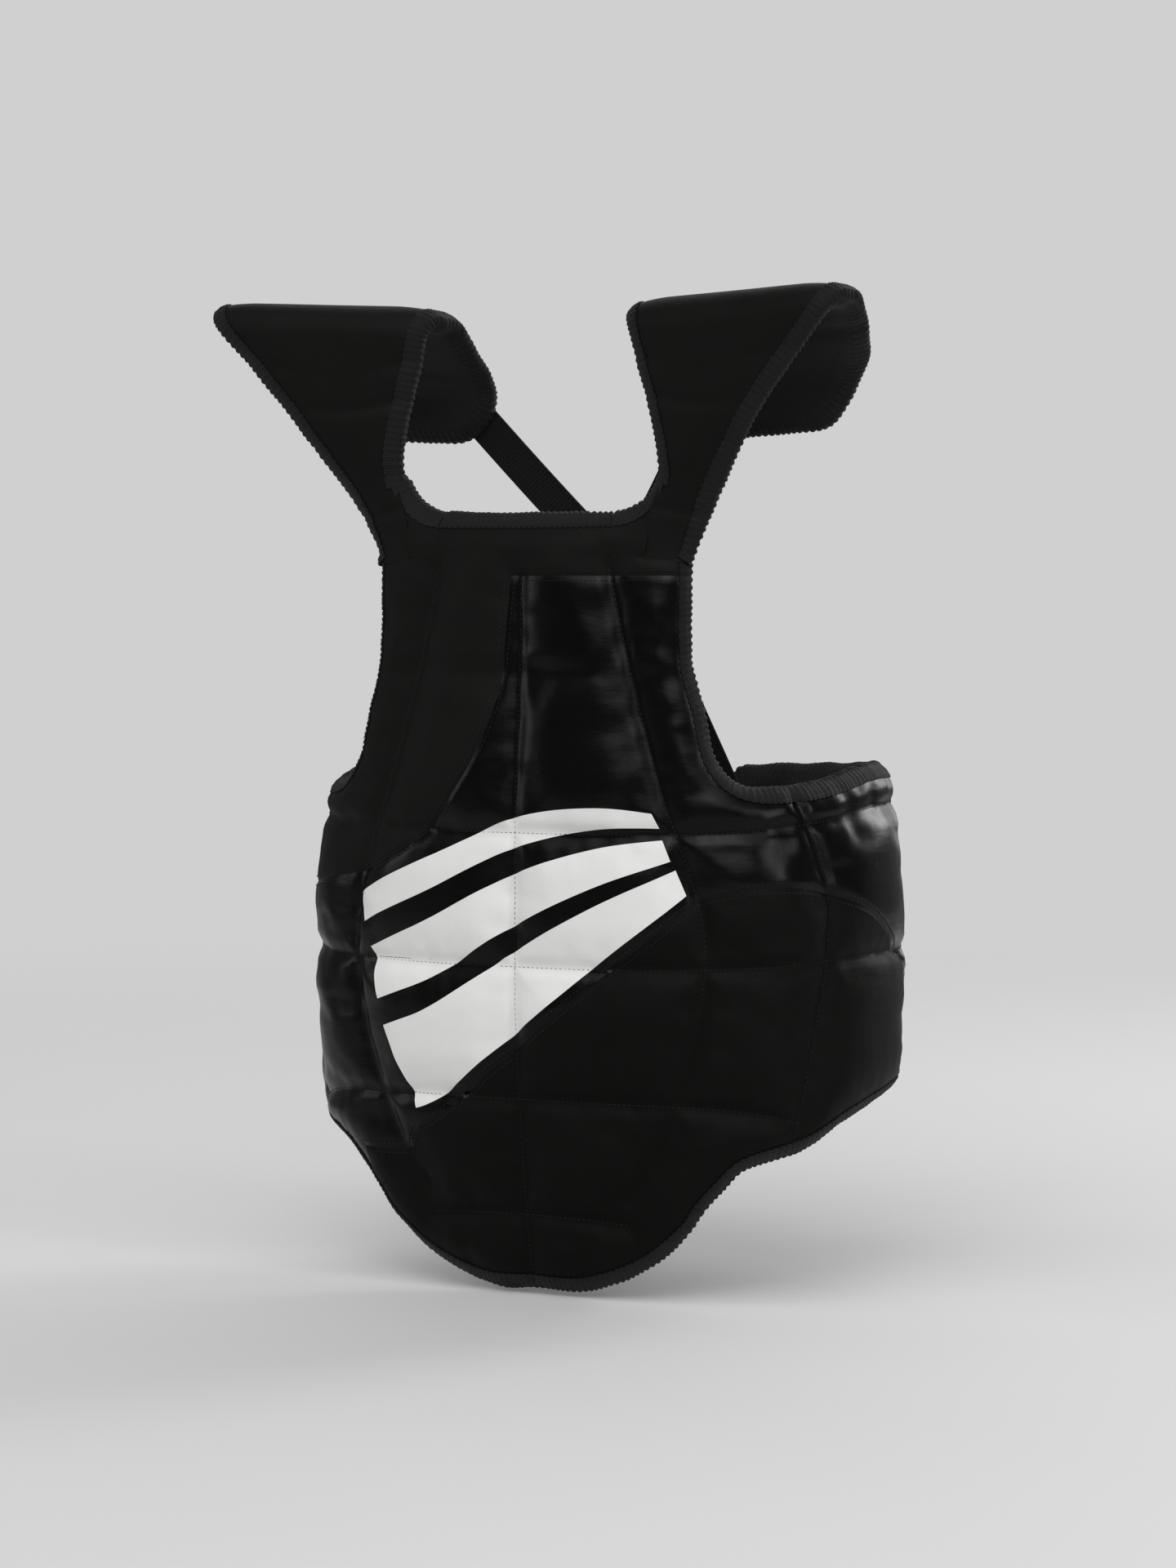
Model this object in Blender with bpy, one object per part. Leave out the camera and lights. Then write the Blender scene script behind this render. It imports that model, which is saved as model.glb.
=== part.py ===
"""Chest protector for boxing and martial arts, made of its separate sewn pieces.

Frame: +Z up, the chest faces -Y, +X is on a viewer's right. The origin is on the
wearer's body axis at waist height. Metres throughout.
"""
import bmesh
import bpy
from math import cos, pi, radians, sin
from mathutils import Vector

# ---- driving dimensions -----------------------------------------------------------
NECKLINE_Z = 0.288          # top of the chest between the shoulder flaps
FLAP_SEAM_Z = 0.259         # chest edge under each shoulder flap
ARMHOLE_FOOT_Z = 0.195      # where the straight side of the armhole starts to curve
SASH_TOP_Z = 0.248          # top edge of the gloss panel on the chest
UPPER_SEAM_Z = 0.076        # quilting lines across the front
MIDDLE_SEAM_Z = -0.014
LOWER_SEAM_Z = -0.104
APRON_Z = -0.2335           # lowest point of the front
NECK_HALF = 0.0855          # half the neckline
CHEST_HALF = 0.1215         # half the chest between the armholes
HINGE_X = 0.127             # where each wing bends away from the front
WING_END = radians(169)     # girth angle of a wing's rear end

COVER = 0.0016              # outer fabric
FOAM = 0.018                # closed-cell foam of the front and the wings
LINING = 0.0012
PLY_GAP = 0.0012            # clearance between one layer and the next
SEAM_GAP = 0.0005           # clearance between neighbours in one layer
BINDING = 0.003             # edge tape beyond the edge that it covers
TAPE_GAP = 0.0018           # clearance between the tape and that edge
BODY_DEPTH = COVER + FOAM + LINING + 2 * PLY_GAP
PRINT = 0.0004              # printed film

FLAP_FOAM = 0.010
FLAP_DEPTH = COVER + FLAP_FOAM + LINING + 2 * PLY_GAP
FLAP_SWEEP = 0.19           # how far a flap runs back for each metre outwards
FLAP_FLARE = -0.13          # the same further up, where its outer edge flares forward
FLAP_TWIST = 0.085          # the length over which one becomes the other
FLAP_RISE = 0.045           # how far its ridge climbs for each metre outwards
FLAP_GAP = 0.0035           # room for the flap to fold on its seam
RIDGE_Z = 0.431             # top of the flap at its inner edge

STRAP_WIDTH = 0.026
STRAP_DEPTH = 0.0016
CROSSING = (0.0, 0.012, 0.254)      # where the back straps cross
CROSSING_UP = (0.0, -0.40, 0.9165)  # upwards along the straps there
PATCH_DEPTH = 0.0035
PATCH_OUTLINE = [(0.0121, 0.0318), (0.0306, 0.0146), (0.0270, -0.0455), (0.0027, -0.0529)]   # its right half
BELT_LOW, BELT_HIGH = -0.055, 0.020
BELT_DEPTH = 0.0022
HOOK_DEPTH = 0.0014         # each half of the hook-and-loop closure
BELT_GAP = 0.0006

# Half width and front depth of the vest at each height, and how square its plan is.
HALF_WIDTH = [(APRON_Z, 0.190), (-0.12, 0.206), (-0.014, 0.2085), (0.076, 0.203), (0.11, 0.199), (0.29, 0.200)]
FRONT_DEPTH = [(APRON_Z, 0.119), (-0.144, 0.133), (MIDDLE_SEAM_Z, 0.144), (UPPER_SEAM_Z, 0.144),
               (0.19, 0.137), (0.29, 0.134)]
REAR_DEPTH = 0.118
SQUARENESS = 0.11

# Edges and seams of the front, as distance from the middle and height.
APRON_EDGE = [(0.0, APRON_Z), (0.035, -0.2315), (0.069, -0.219), (0.092, -0.207), (0.118, -0.185), (HINGE_X, -0.176)]
SASH_UPPER = [(-HINGE_X, 0.045), (-0.104, 0.053), (-0.085, 0.064), (-0.065, 0.078), (-0.045, 0.103),
              (-0.028, 0.131), (-0.015, 0.169), (-0.007, SASH_TOP_Z), (HINGE_X, SASH_TOP_Z)]
SASH_LOWER = [(-HINGE_X, -0.1445), (-0.0865, -0.1445), (-0.0855, -0.126), (-0.065, -0.123), (HINGE_X, 0.034)]

PRINT_LOWER = [(-HINGE_X, -0.166), (HINGE_X, 0.042)]
PRINT_UPPER = [(-HINGE_X, 0.030), (-0.06, 0.060), (0.0, 0.086), (0.06, 0.094), (HINGE_X, 0.088)]

# Edges and seams of a wing, as girth angle in degrees and height.
WING_TOP = [(33.6, 0.172), (35, 0.160), (38, 0.127), (42.5, 0.112), (48, 0.106), (60, 0.106), (75, 0.111),
            (90, 0.118), (105, 0.118), (130, 0.115), (169, 0.110)]
WING_FOOT = [(33.6, -0.176), (38, -0.160), (42.5, -0.147), (48, -0.141), (60, -0.133), (75, -0.117),
             (90, -0.107), (110, -0.101), (169, -0.099)]
RIGHT_WING_SEAM = [(33.6, 0.034), (45, 0.041), (56, 0.042), (70, 0.035), (81, 0.024), (97, -0.006),
                   (112, -0.028), (135, -0.040), (169, -0.045)]
LEFT_WING_SEAM = [(33.6, 0.045), (60, 0.034), (100, 0.030), (169, 0.030)]

# A flap's section from its seam over the shoulder: corners as (y, z, radius).
FLAP_SECTION = [(-0.1265, FLAP_SEAM_Z + FLAP_GAP, 0.0), (-0.1360, RIDGE_Z, 0.020), (-0.088, RIDGE_Z - 0.002, 0.034),
                (-0.036, 0.385, 0.040), (-0.027, 0.345, 0.0)]
# Its inner and outer edges, as distance along the section and distance from the middle.
FLAP_INNER = [(0, 0.0895), (0.024, 0.0920), (0.036, 0.0985), (0.052, 0.1020), (0.080, 0.0970), (0.120, 0.0850),
              (0.165, 0.0750), (0.262, 0.0740), (0.276, 0.0800), (0.290, 0.0960)]
FLAP_OUTER = [(0.0, 0.1215), (0.030, 0.1340), (0.060, 0.1555), (0.090, 0.1790), (0.118, 0.2060), (0.148, 0.2330),
              (0.175, 0.2380), (0.220, 0.2300), (0.262, 0.2120), (0.290, 0.1880)]


def along(knots, t):
    """Value at t of a smooth curve through the knots, which never overshoots them."""
    if t <= knots[0][0]:
        return knots[0][1]
    if t >= knots[-1][0]:
        return knots[-1][1]
    chords = [(b[1] - a[1]) / (b[0] - a[0]) for a, b in zip(knots, knots[1:])]
    slopes = [chords[0]]
    for before, after in zip(chords, chords[1:]):
        slopes.append(0.0 if before * after <= 0 else 2 * before * after / (before + after))
    slopes.append(chords[-1])
    place = next(i for i in range(len(chords)) if t <= knots[i + 1][0])
    (t0, v0), (t1, v1) = knots[place], knots[place + 1]
    span = t1 - t0
    u = (t - t0) / span
    return ((2 * u**3 - 3 * u**2 + 1) * v0 + (u**3 - 2 * u**2 + u) * span * slopes[place]
            + (3 * u**2 - 2 * u**3) * v1 + (u**3 - u**2) * span * slopes[place + 1])


def straight(knots, t):
    """Value at t of straight runs through the knots."""
    place = next((i for i in range(len(knots) - 2) if t <= knots[i + 1][0]), len(knots) - 2)
    (t0, v0), (t1, v1) = knots[place], knots[place + 1]
    return v0 + (v1 - v0) * min(max((t - t0) / (t1 - t0), 0.0), 1.0)


# ---- the vest's surface -------------------------------------------------------------
def vest(angle, z, inset):
    """Point at a girth angle (0 at the front, +pi/2 at the right side), height and depth."""
    half = along(HALF_WIDTH, z) - inset
    depth = (along(FRONT_DEPTH, z) if abs(angle) < pi / 2 else REAR_DEPTH) - inset
    square = SQUARENESS * sin(2 * angle)
    return Vector((half * sin(angle + square), -depth * cos(angle - square), z))


def angle_at(x):
    """Girth angle of the front at distance x from the middle, measured across the chest."""
    low, high = 0.0, pi / 2
    half = HALF_WIDTH[-1][1]
    for _ in range(40):
        middle = (low + high) / 2
        if half * sin(middle + SQUARENESS * sin(2 * middle)) < abs(x):
            low = middle
        else:
            high = middle
    return low if x > 0 else -low


def rounded_path(corners, step):
    """Points along straight runs joined by arcs; each corner is (a, b, radius)."""
    points = [Vector(corners[0][:2])]
    for before, corner, after in zip(corners, corners[1:], corners[2:]):
        here = Vector(corner[:2])
        back = (Vector(before[:2]) - here).normalized()
        ahead = (Vector(after[:2]) - here).normalized()
        half = back.angle(ahead) / 2
        reach = corner[2] / max(0.01, abs(sin(half) / cos(half)))
        centre = here + (back + ahead).normalized() * (corner[2] / sin(half))
        start, end = here + back * reach - centre, here + ahead * reach - centre
        turn = start.angle_signed(end)
        steps = max(2, round(abs(turn) * corner[2] / step))
        for i in range(steps + 1):
            a = -turn * i / steps
            points.append(centre + Vector((start.x * cos(a) - start.y * sin(a), start.x * sin(a) + start.y * cos(a))))
    points.append(Vector(corners[-1][:2]))
    return points


SECTION = rounded_path(FLAP_SECTION, 0.014)
SECTION_LENGTHS = [sum((b - a).length for a, b in zip(SECTION[:i], SECTION[1:i + 1])) for i in range(len(SECTION))]
FLAP_LENGTH = SECTION_LENGTHS[-1]
SECTION_INWARD = []
for number in range(len(SECTION)):
    run = SECTION[min(number + 1, len(SECTION) - 1)] - SECTION[max(number - 1, 0)]
    SECTION_INWARD.append(Vector((run.y, -run.x)).normalized())


def flap(side):
    """Surface of one shoulder flap: distance along its section, distance from the middle, depth."""
    def surface(length, x, inset):
        place = next((i for i in range(1, len(SECTION)) if length <= SECTION_LENGTHS[i]), len(SECTION) - 1)
        run = SECTION_LENGTHS[place] - SECTION_LENGTHS[place - 1]
        share = (length - SECTION_LENGTHS[place - 1]) / run
        y, z = SECTION[place - 1].lerp(SECTION[place], share)
        inward = SECTION_INWARD[place - 1].lerp(SECTION_INWARD[place], share) * inset
        climb = FLAP_RISE * min(1.0, length / (RIDGE_Z - FLAP_SEAM_Z))
        twist = min(1.0, length / FLAP_TWIST)
        sweep = FLAP_SWEEP + (FLAP_FLARE - FLAP_SWEEP) * twist * twist * (3 - 2 * twist)
        offset = x - FLAP_INNER[0][1]
        return Vector((side * x, y + inward.x + sweep * offset, z + inward.y + climb * offset))
    return surface


# ---- solids -------------------------------------------------------------------------
def material(name, colour, roughness):
    made = bpy.data.materials.new(name)
    made.use_nodes = True
    shader = made.node_tree.nodes["Principled BSDF"]
    shader.inputs["Base Color"].default_value = (*colour, 1.0)
    shader.inputs["Roughness"].default_value = roughness
    made.diffuse_color = (*colour, 1.0)
    return made


def thick_sheet(name, surface_material, front, back):
    """Closed solid between two matching grids of points."""
    shape = bmesh.new()
    faces = [[[shape.verts.new(p) for p in row] for row in grid] for grid in (front, back)]
    rows, columns = len(front), len(front[0])
    for grid in faces:
        for i in range(rows - 1):
            for j in range(columns - 1):
                shape.faces.new((grid[i][j], grid[i + 1][j], grid[i + 1][j + 1], grid[i][j + 1]))
    near, far = faces
    rim = [(i, 0) for i in range(rows)] + [(rows - 1, j) for j in range(1, columns)]
    rim += [(i, columns - 1) for i in range(rows - 2, -1, -1)] + [(0, j) for j in range(columns - 2, 0, -1)]
    for (i, j), (k, l) in zip(rim, rim[1:] + rim[:1]):
        shape.faces.new((near[i][j], near[k][l], far[k][l], far[i][j]))
    bmesh.ops.recalc_face_normals(shape, faces=shape.faces)
    mesh = bpy.data.meshes.new(name)
    shape.to_mesh(mesh)
    shape.free()
    mesh.shade_smooth()
    mesh.set_sharp_from_angle(angle=radians(35))
    mesh.materials.append(surface_material)
    made = bpy.data.objects.new(name, mesh)
    bpy.context.collection.objects.link(made)
    return made


def layer(name, surface_material, surface, columns, levels, near, far):
    """Piece of fabric or foam: its columns, the levels on each column, and its two depths."""
    grids = [[[surface(u, v, depth) for v in levels(u)] for u in columns] for depth in (near, far)]
    return thick_sheet(name, surface_material, *grids)


def edge_tape(name, surface_material, surface, path, depth):
    """Tape outside the edge that the path follows; seen from outside, the pad is on the path's right."""
    rows = [(surface(u, v, 0.0), surface(u, v, depth)) for u, v in path]
    front, back = [], []
    for i, (outer, inner) in enumerate(rows):
        ahead = rows[min(i + 1, len(rows) - 1)][0] - rows[max(i - 1, 0)][0]
        away = ahead.cross(inner - outer).normalized()
        front.append([outer + away * reach for reach in (TAPE_GAP, TAPE_GAP + BINDING)])
        back.append([inner + away * reach for reach in (TAPE_GAP, TAPE_GAP + BINDING)])
    return thick_sheet(name, surface_material, front, back)


def strap(name, surface_material, route, width, thickness):
    """Flat webbing along a smooth route through three or more points."""
    steps = 9
    knots = [[(i, p[axis]) for i, p in enumerate(route)] for axis in range(3)]
    centres = [Vector([along(axis, (len(route) - 1) * i / steps) for axis in knots]) for i in range(steps + 1)]
    front, back = [], []
    for i, centre in enumerate(centres):
        ahead = (centres[min(i + 1, steps)] - centres[max(i - 1, 0)]).normalized()
        out = Vector((0, -1, 0)) - ahead * ahead.dot(Vector((0, -1, 0)))
        out.normalize()
        across = ahead.cross(out) * (width / 2)
        front.append([centre + out * (thickness / 2) + across * s for s in (-1, 1)])
        back.append([centre - out * (thickness / 2) + across * s for s in (-1, 1)])
    return thick_sheet(name, surface_material, front, back)


def strap_end(x, up):
    """Point beside the crossing, in the plane of the straps."""
    return Vector(CROSSING) + Vector((x, 0, 0)) + Vector(CROSSING_UP) * up


# ---- the stations that every layer of the front and the wings shares ------------------
HINGE = angle_at(HINGE_X)
HINGE_GAP = radians(0.22)
FRONT_XS = [0.028, 0.045, 0.065, NECK_HALF, NECK_HALF + 0.001, 0.104, CHEST_HALF, CHEST_HALF + 0.001]
COVER_XS = [0.007, 0.015] + FRONT_XS


def front_columns(distances):
    right = [angle_at(x) for x in distances] + [HINGE - HINGE_GAP]
    return [-a for a in reversed(right)] + right


def wing_columns(side):
    degrees = [35, 38, 42.5, 48, 56, 66, 76, 86, 96, 106, 118, 130, 142, 155]
    angles = [HINGE + HINGE_GAP] + [radians(d) for d in degrees] + [WING_END]
    return [side * a for a in angles]


def front_x(angle):
    """Distance from the middle at a girth angle, measured across the chest."""
    return HALF_WIDTH[-1][1] * sin(angle + SQUARENESS * sin(2 * angle))


def chest_top(angle):
    x = abs(front_x(angle))
    if x < NECK_HALF + 0.0005:
        return NECKLINE_Z
    if x < CHEST_HALF + 0.0005:
        return FLAP_SEAM_Z
    return straight([(CHEST_HALF + 0.001, ARMHOLE_FOOT_Z), (HINGE_X, WING_TOP[0][1])], x)


def apron_foot(angle):
    return along(APRON_EDGE, abs(front_x(angle)))


def wing_edge(knots, angle):
    return along([(radians(d), z) for d, z in knots], abs(angle))


def even(low, high):
    """Five levels at equal steps from low to high."""
    return [low + (high - low) * i / 4 for i in range(5)]


# ---- pieces -------------------------------------------------------------------------
def build_front(fabrics):
    """The front: three foam blocks, the lining and the outer panels."""
    foam_near, foam_far = COVER + PLY_GAP, COVER + PLY_GAP + FOAM
    columns = front_columns(FRONT_XS)
    half = SEAM_GAP / 2
    layer("chest_foam", fabrics["foam"], vest, columns,
          lambda a: [UPPER_SEAM_Z + half, 0.165, chest_top(a)], foam_near, foam_far)
    layer("belly_foam", fabrics["foam"], vest, columns,
          lambda a: [LOWER_SEAM_Z + half, MIDDLE_SEAM_Z, UPPER_SEAM_Z - half], foam_near, foam_far)
    layer("apron_foam", fabrics["foam"], vest, columns,
          lambda a: [apron_foot(a), (apron_foot(a) + LOWER_SEAM_Z) / 2, LOWER_SEAM_Z - half], foam_near, foam_far)
    layer("front_lining", fabrics["lining"], vest, columns,
          lambda a: [apron_foot(a), LOWER_SEAM_Z, MIDDLE_SEAM_Z, UPPER_SEAM_Z, 0.165, chest_top(a)],
          foam_far + PLY_GAP, BODY_DEPTH)
    cover = front_columns(COVER_XS)

    def chest_bottom(a):
        return straight(SASH_UPPER, front_x(a)) + half

    def sash_top(a):
        return min(straight(SASH_UPPER, front_x(a)) - half, chest_top(a))

    def seam(a):
        return straight(SASH_LOWER, front_x(a))

    inner = [a for a in cover if front_x(a) < CHEST_HALF + 0.0005]
    layer("chest_panel", fabrics["charcoal"], vest, inner,
          lambda a: even(chest_bottom(a), chest_top(a)), 0.0, COVER)
    layer("gloss_sash", fabrics["gloss"], vest, cover, lambda a: even(seam(a) + half, sash_top(a)), 0.0, COVER)
    layer("belly_panel", fabrics["charcoal"], vest, cover, lambda a: even(apron_foot(a), seam(a) - half), 0.0, COVER)


def build_wing(side, name, fabrics):
    """One side wing: foam, lining, two outer panels and its edge tape."""
    upper, lower, seam = (("gloss", "charcoal", RIGHT_WING_SEAM) if side > 0
                          else ("charcoal", "gloss", LEFT_WING_SEAM))
    columns = wing_columns(side)
    foam_near, foam_far = COVER + PLY_GAP, COVER + PLY_GAP + FOAM
    half = SEAM_GAP / 2

    def levels(a):
        foot = wing_edge(WING_FOOT, a)
        return [foot, (foot + MIDDLE_SEAM_Z) / 2, MIDDLE_SEAM_Z, UPPER_SEAM_Z, wing_edge(WING_TOP, a)]

    layer(f"{name}_wing_foam", fabrics["foam"], vest, columns, levels, foam_near, foam_far)
    layer(f"{name}_wing_lining", fabrics["lining"], vest, columns, levels, foam_far + PLY_GAP, BODY_DEPTH)
    layer(f"{name}_wing_upper_panel", fabrics[upper], vest, columns,
          lambda a: even(wing_edge(seam, a) + half, wing_edge(WING_TOP, a)), 0.0, COVER)
    layer(f"{name}_wing_lower_panel", fabrics[lower], vest, columns,
          lambda a: even(wing_edge(WING_FOOT, a), wing_edge(seam, a) - half), 0.0, COVER)
    path = [(a, wing_edge(WING_TOP, a)) for a in columns]
    path += [(a, wing_edge(WING_FOOT, a)) for a in reversed(columns)]
    path = path if side > 0 else list(reversed(path))
    edge_tape(f"{name}_wing_binding", fabrics["binding"], vest, path, BODY_DEPTH)


def build_front_bindings(fabrics):
    """Edge tape along the neckline, both armholes and the apron."""
    columns = front_columns(FRONT_XS)
    neck_end = angle_at(NECK_HALF - 0.003)
    neck = [-neck_end] + [a for a in columns if abs(a) < neck_end] + [neck_end]
    edge_tape("neckline_binding", fabrics["binding"], vest,
              [(a, NECKLINE_Z) for a in neck], BODY_DEPTH)
    edge_tape("apron_binding", fabrics["binding"], vest,
              [(a, apron_foot(a)) for a in reversed(front_columns(COVER_XS))], BODY_DEPTH)
    outer = [a for a in columns if a > 0 and front_x(a) > CHEST_HALF - 0.0005]
    edge = [(a, chest_top(a)) for a in outer]
    edge_tape("right_armhole_binding", fabrics["binding"], vest, edge, BODY_DEPTH)
    edge_tape("left_armhole_binding", fabrics["binding"], vest,
              [(-a, z) for a, z in reversed(edge)], BODY_DEPTH)


def build_flap(side, name, fabrics):
    """One shoulder flap, curved over the shoulder: cover, foam, lining and edge tape."""
    surface = flap(side)
    columns = [length for length in SECTION_LENGTHS]
    columns += [0.024, 0.036, 0.052, 0.080, 0.110]
    columns = sorted(columns)

    def levels(length):
        share = length / FLAP_LENGTH * FLAP_INNER[-1][0]
        low, high = along(FLAP_INNER, share), along(FLAP_OUTER, share)
        return [low + (high - low) * i / 2 for i in range(3)]

    foam_near, foam_far = COVER + PLY_GAP, COVER + PLY_GAP + FLAP_FOAM
    layer(f"{name}_flap_cover", fabrics["charcoal"], surface, columns, levels, 0.0, COVER)
    layer(f"{name}_flap_foam", fabrics["foam"], surface, columns, levels, foam_near, foam_far)
    layer(f"{name}_flap_lining", fabrics["lining"], surface, columns, levels, foam_far + PLY_GAP, FLAP_DEPTH)
    path = [(length, levels(length)[0]) for length in columns if length > 0.023]
    path += [(length, levels(length)[-1]) for length in reversed(columns)]
    path = path if side > 0 else list(reversed(path))
    edge_tape(f"{name}_flap_binding", fabrics["binding"], surface, path, FLAP_DEPTH)


def build_back_straps(fabrics):
    """Four elastic straps sewn to a patch where they cross between the shoulders."""
    for side, name in ((-1, "left"), (1, "right")):
        flap_corner = Vector((side * 0.0805, -0.032, 0.350))
        top = strap_end(side * 0.0226, 0.0244)
        strap(f"{name}_upper_strap", fabrics["elastic"],
              [flap_corner, flap_corner.lerp(top, 0.5), top], STRAP_WIDTH, STRAP_DEPTH)
        bottom = strap_end(side * 0.0154, -0.0508)
        wing_corner = Vector((side * 0.060, 0.0880, 0.062))
        strap(f"{name}_lower_strap", fabrics["elastic"],
              [bottom, bottom.lerp(wing_corner, 0.5), wing_corner], STRAP_WIDTH, STRAP_DEPTH)
    normal = Vector((1, 0, 0)).cross(Vector(CROSSING_UP)) * (PATCH_DEPTH / 2)
    rows = [[strap_end(-x, up), strap_end(x, up)] for x, up in PATCH_OUTLINE]
    thick_sheet("strap_crossing_patch", fabrics["binding"],
                [[p + normal for p in row] for row in rows], [[p - normal for p in row] for row in rows])


def build_belt(fabrics):
    """Elastic belt from the left wing's end to the hook-and-loop closure on the right wing."""
    hook_near = BELT_GAP + HOOK_DEPTH + BELT_GAP
    clear = hook_near + HOOK_DEPTH + BELT_GAP

    def patch_levels(a):
        return [BELT_LOW + 0.006, (BELT_LOW + BELT_HIGH) / 2, BELT_HIGH - 0.006]

    layer("closure_loop_patch", fabrics["fastener"], vest, [radians(d) for d in (130, 142, 155, 167)],
          patch_levels, -BELT_GAP - HOOK_DEPTH, -BELT_GAP)
    layer("closure_hook_patch", fabrics["fastener"], vest, [radians(d) for d in (142, 155, 167)],
          patch_levels, -hook_near - HOOK_DEPTH, -hook_near)

    def lift(angle):
        return straight([(WING_END, clear), (2 * pi - WING_END, 3 * BELT_GAP), (radians(205), BELT_GAP)], angle)

    columns = [radians(d) for d in (142, 155, 169, 180, 191, 205, 218)]
    grids = [[[vest(a, z, -lift(a) - depth) for z in (BELT_LOW, (BELT_LOW + BELT_HIGH) / 2, BELT_HIGH)]
              for a in columns] for depth in (BELT_DEPTH, 0.0)]
    thick_sheet("waist_belt", fabrics["elastic"], *grids)


def build_print(fabrics):
    """Three curved stripes of printed film, fanning out across the gloss sash."""
    columns = [a for a in front_columns(COVER_XS) if abs(front_x(a)) < CHEST_HALF - 0.001]

    def stripe(low, high):
        def levels(a):
            x = front_x(a)
            foot = max(straight(PRINT_LOWER, x), straight(SASH_LOWER, x) + 0.007)
            height = along(PRINT_UPPER, x) - foot
            return [foot + height * (low + (high - low) * i / 2) for i in range(3)]
        return levels

    for name, low, high in (("wide", 0.0, 0.38), ("middle", 0.50, 0.74), ("narrow", 0.86, 1.0)):
        layer(f"print_{name}_stripe", fabrics["print"], vest, columns, stripe(low, high),
              -SEAM_GAP - PRINT, -SEAM_GAP)


def main():
    for old in list(bpy.data.objects):
        bpy.data.objects.remove(old)
    fabrics = {
        "charcoal": material("matte_charcoal_vinyl", (0.0065, 0.0065, 0.0058), 0.62),
        "gloss": material("gloss_black_vinyl", (0.0015, 0.0015, 0.0011), 0.22),
        "binding": material("black_edge_tape", (0.003, 0.003, 0.0028), 0.85),
        "lining": material("black_lining", (0.004, 0.004, 0.0037), 0.8),
        "foam": material("grey_foam", (0.09, 0.09, 0.095), 0.9),
        "elastic": material("black_elastic", (0.0015, 0.0015, 0.0015), 0.85),
        "print": material("white_print", (0.62, 0.62, 0.60), 0.45),
        "fastener": material("black_hook_and_loop", (0.003, 0.003, 0.003), 0.95),
    }
    build_front(fabrics)
    build_front_bindings(fabrics)
    build_print(fabrics)
    for side, name in ((-1, "left"), (1, "right")):
        build_wing(side, name, fabrics)
        build_flap(side, name, fabrics)
    build_back_straps(fabrics)
    build_belt(fabrics)


main()
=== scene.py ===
"""Looks of the chest protector: padded panels, edge tape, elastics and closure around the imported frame."""
from math import cos, pi, radians, sin, tan

import bmesh
import bpy
import numpy as np
from mathutils import Matrix, Vector, geometry, noise


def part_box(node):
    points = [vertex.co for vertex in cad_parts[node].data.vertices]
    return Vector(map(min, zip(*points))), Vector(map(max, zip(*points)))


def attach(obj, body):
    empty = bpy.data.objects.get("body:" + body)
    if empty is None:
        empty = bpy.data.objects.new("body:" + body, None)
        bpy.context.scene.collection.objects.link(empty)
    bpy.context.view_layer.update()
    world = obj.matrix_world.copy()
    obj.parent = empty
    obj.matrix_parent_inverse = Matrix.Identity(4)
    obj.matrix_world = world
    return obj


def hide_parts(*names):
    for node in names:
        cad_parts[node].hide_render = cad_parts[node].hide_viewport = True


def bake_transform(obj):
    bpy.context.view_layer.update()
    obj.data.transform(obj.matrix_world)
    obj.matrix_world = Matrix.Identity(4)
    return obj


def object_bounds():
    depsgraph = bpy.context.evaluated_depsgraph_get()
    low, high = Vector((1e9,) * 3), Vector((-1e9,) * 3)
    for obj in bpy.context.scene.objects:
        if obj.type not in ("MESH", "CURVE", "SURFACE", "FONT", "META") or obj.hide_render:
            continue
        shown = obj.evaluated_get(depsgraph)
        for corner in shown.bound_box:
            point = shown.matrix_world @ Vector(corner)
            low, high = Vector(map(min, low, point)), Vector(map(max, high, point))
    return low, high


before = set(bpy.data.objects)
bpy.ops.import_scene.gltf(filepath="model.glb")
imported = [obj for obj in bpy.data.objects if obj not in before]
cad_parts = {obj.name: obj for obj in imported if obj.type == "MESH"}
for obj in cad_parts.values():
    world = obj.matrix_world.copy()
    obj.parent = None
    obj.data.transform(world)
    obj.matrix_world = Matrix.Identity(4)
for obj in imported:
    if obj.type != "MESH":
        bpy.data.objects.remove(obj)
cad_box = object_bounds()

# ---- driving dimensions, shared with the frame ------------------------------------------
NECKLINE_Z = 0.288
CHEST_HALF = 0.1215
HINGE_X = 0.127
HINGE_TOP_Z, HINGE_FOOT_Z = 0.172, -0.176
WING_END = 169.0           # degrees round from the middle of the front
APRON_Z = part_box("apron_foam")[0][2]
SASH_TOP_Z = 0.248
SASH_HIGH_Z, SASH_FOOT_Z = 0.045, -0.1445    # the sash on the left fold
SEAM_Z = 0.2600             # where the flaps are sewn to the chest
BODY_DEPTH = 0.0232
FLAP_DEPTH = 0.0164
FLAP_SWEEP = 0.19
FLAP_FLARE = -0.13
FLAP_TWIST = 0.085
FLAP_RISE = 0.045
FLAP_ROOT_X = 0.0895        # a flap's inner edge where it leaves the chest
FLAP_DRAWN = 0.290          # length that a flap's outline is drawn to
FLAP_BASE_Z = 0.2625
RIDGE_Z = 0.431
SQUARENESS = 0.11
REAR_DEPTH = 0.118
HALF_WIDTH = [(APRON_Z, 0.190), (-0.12, 0.206), (-0.014, 0.2085), (0.076, 0.203), (0.11, 0.199),
              (0.29, 0.200)]
FRONT_DEPTH = [(APRON_Z, 0.119), (-0.144, 0.133), (-0.014, 0.144), (0.076, 0.144), (0.19, 0.137),
               (0.29, 0.134)]
FLAP_SECTION = [(-0.1265, FLAP_BASE_Z, 0.0), (-0.1360, RIDGE_Z, 0.020), (-0.088, RIDGE_Z - 0.002, 0.034),
                (-0.036, 0.385, 0.040), (-0.027, 0.345, 0.0)]

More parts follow.
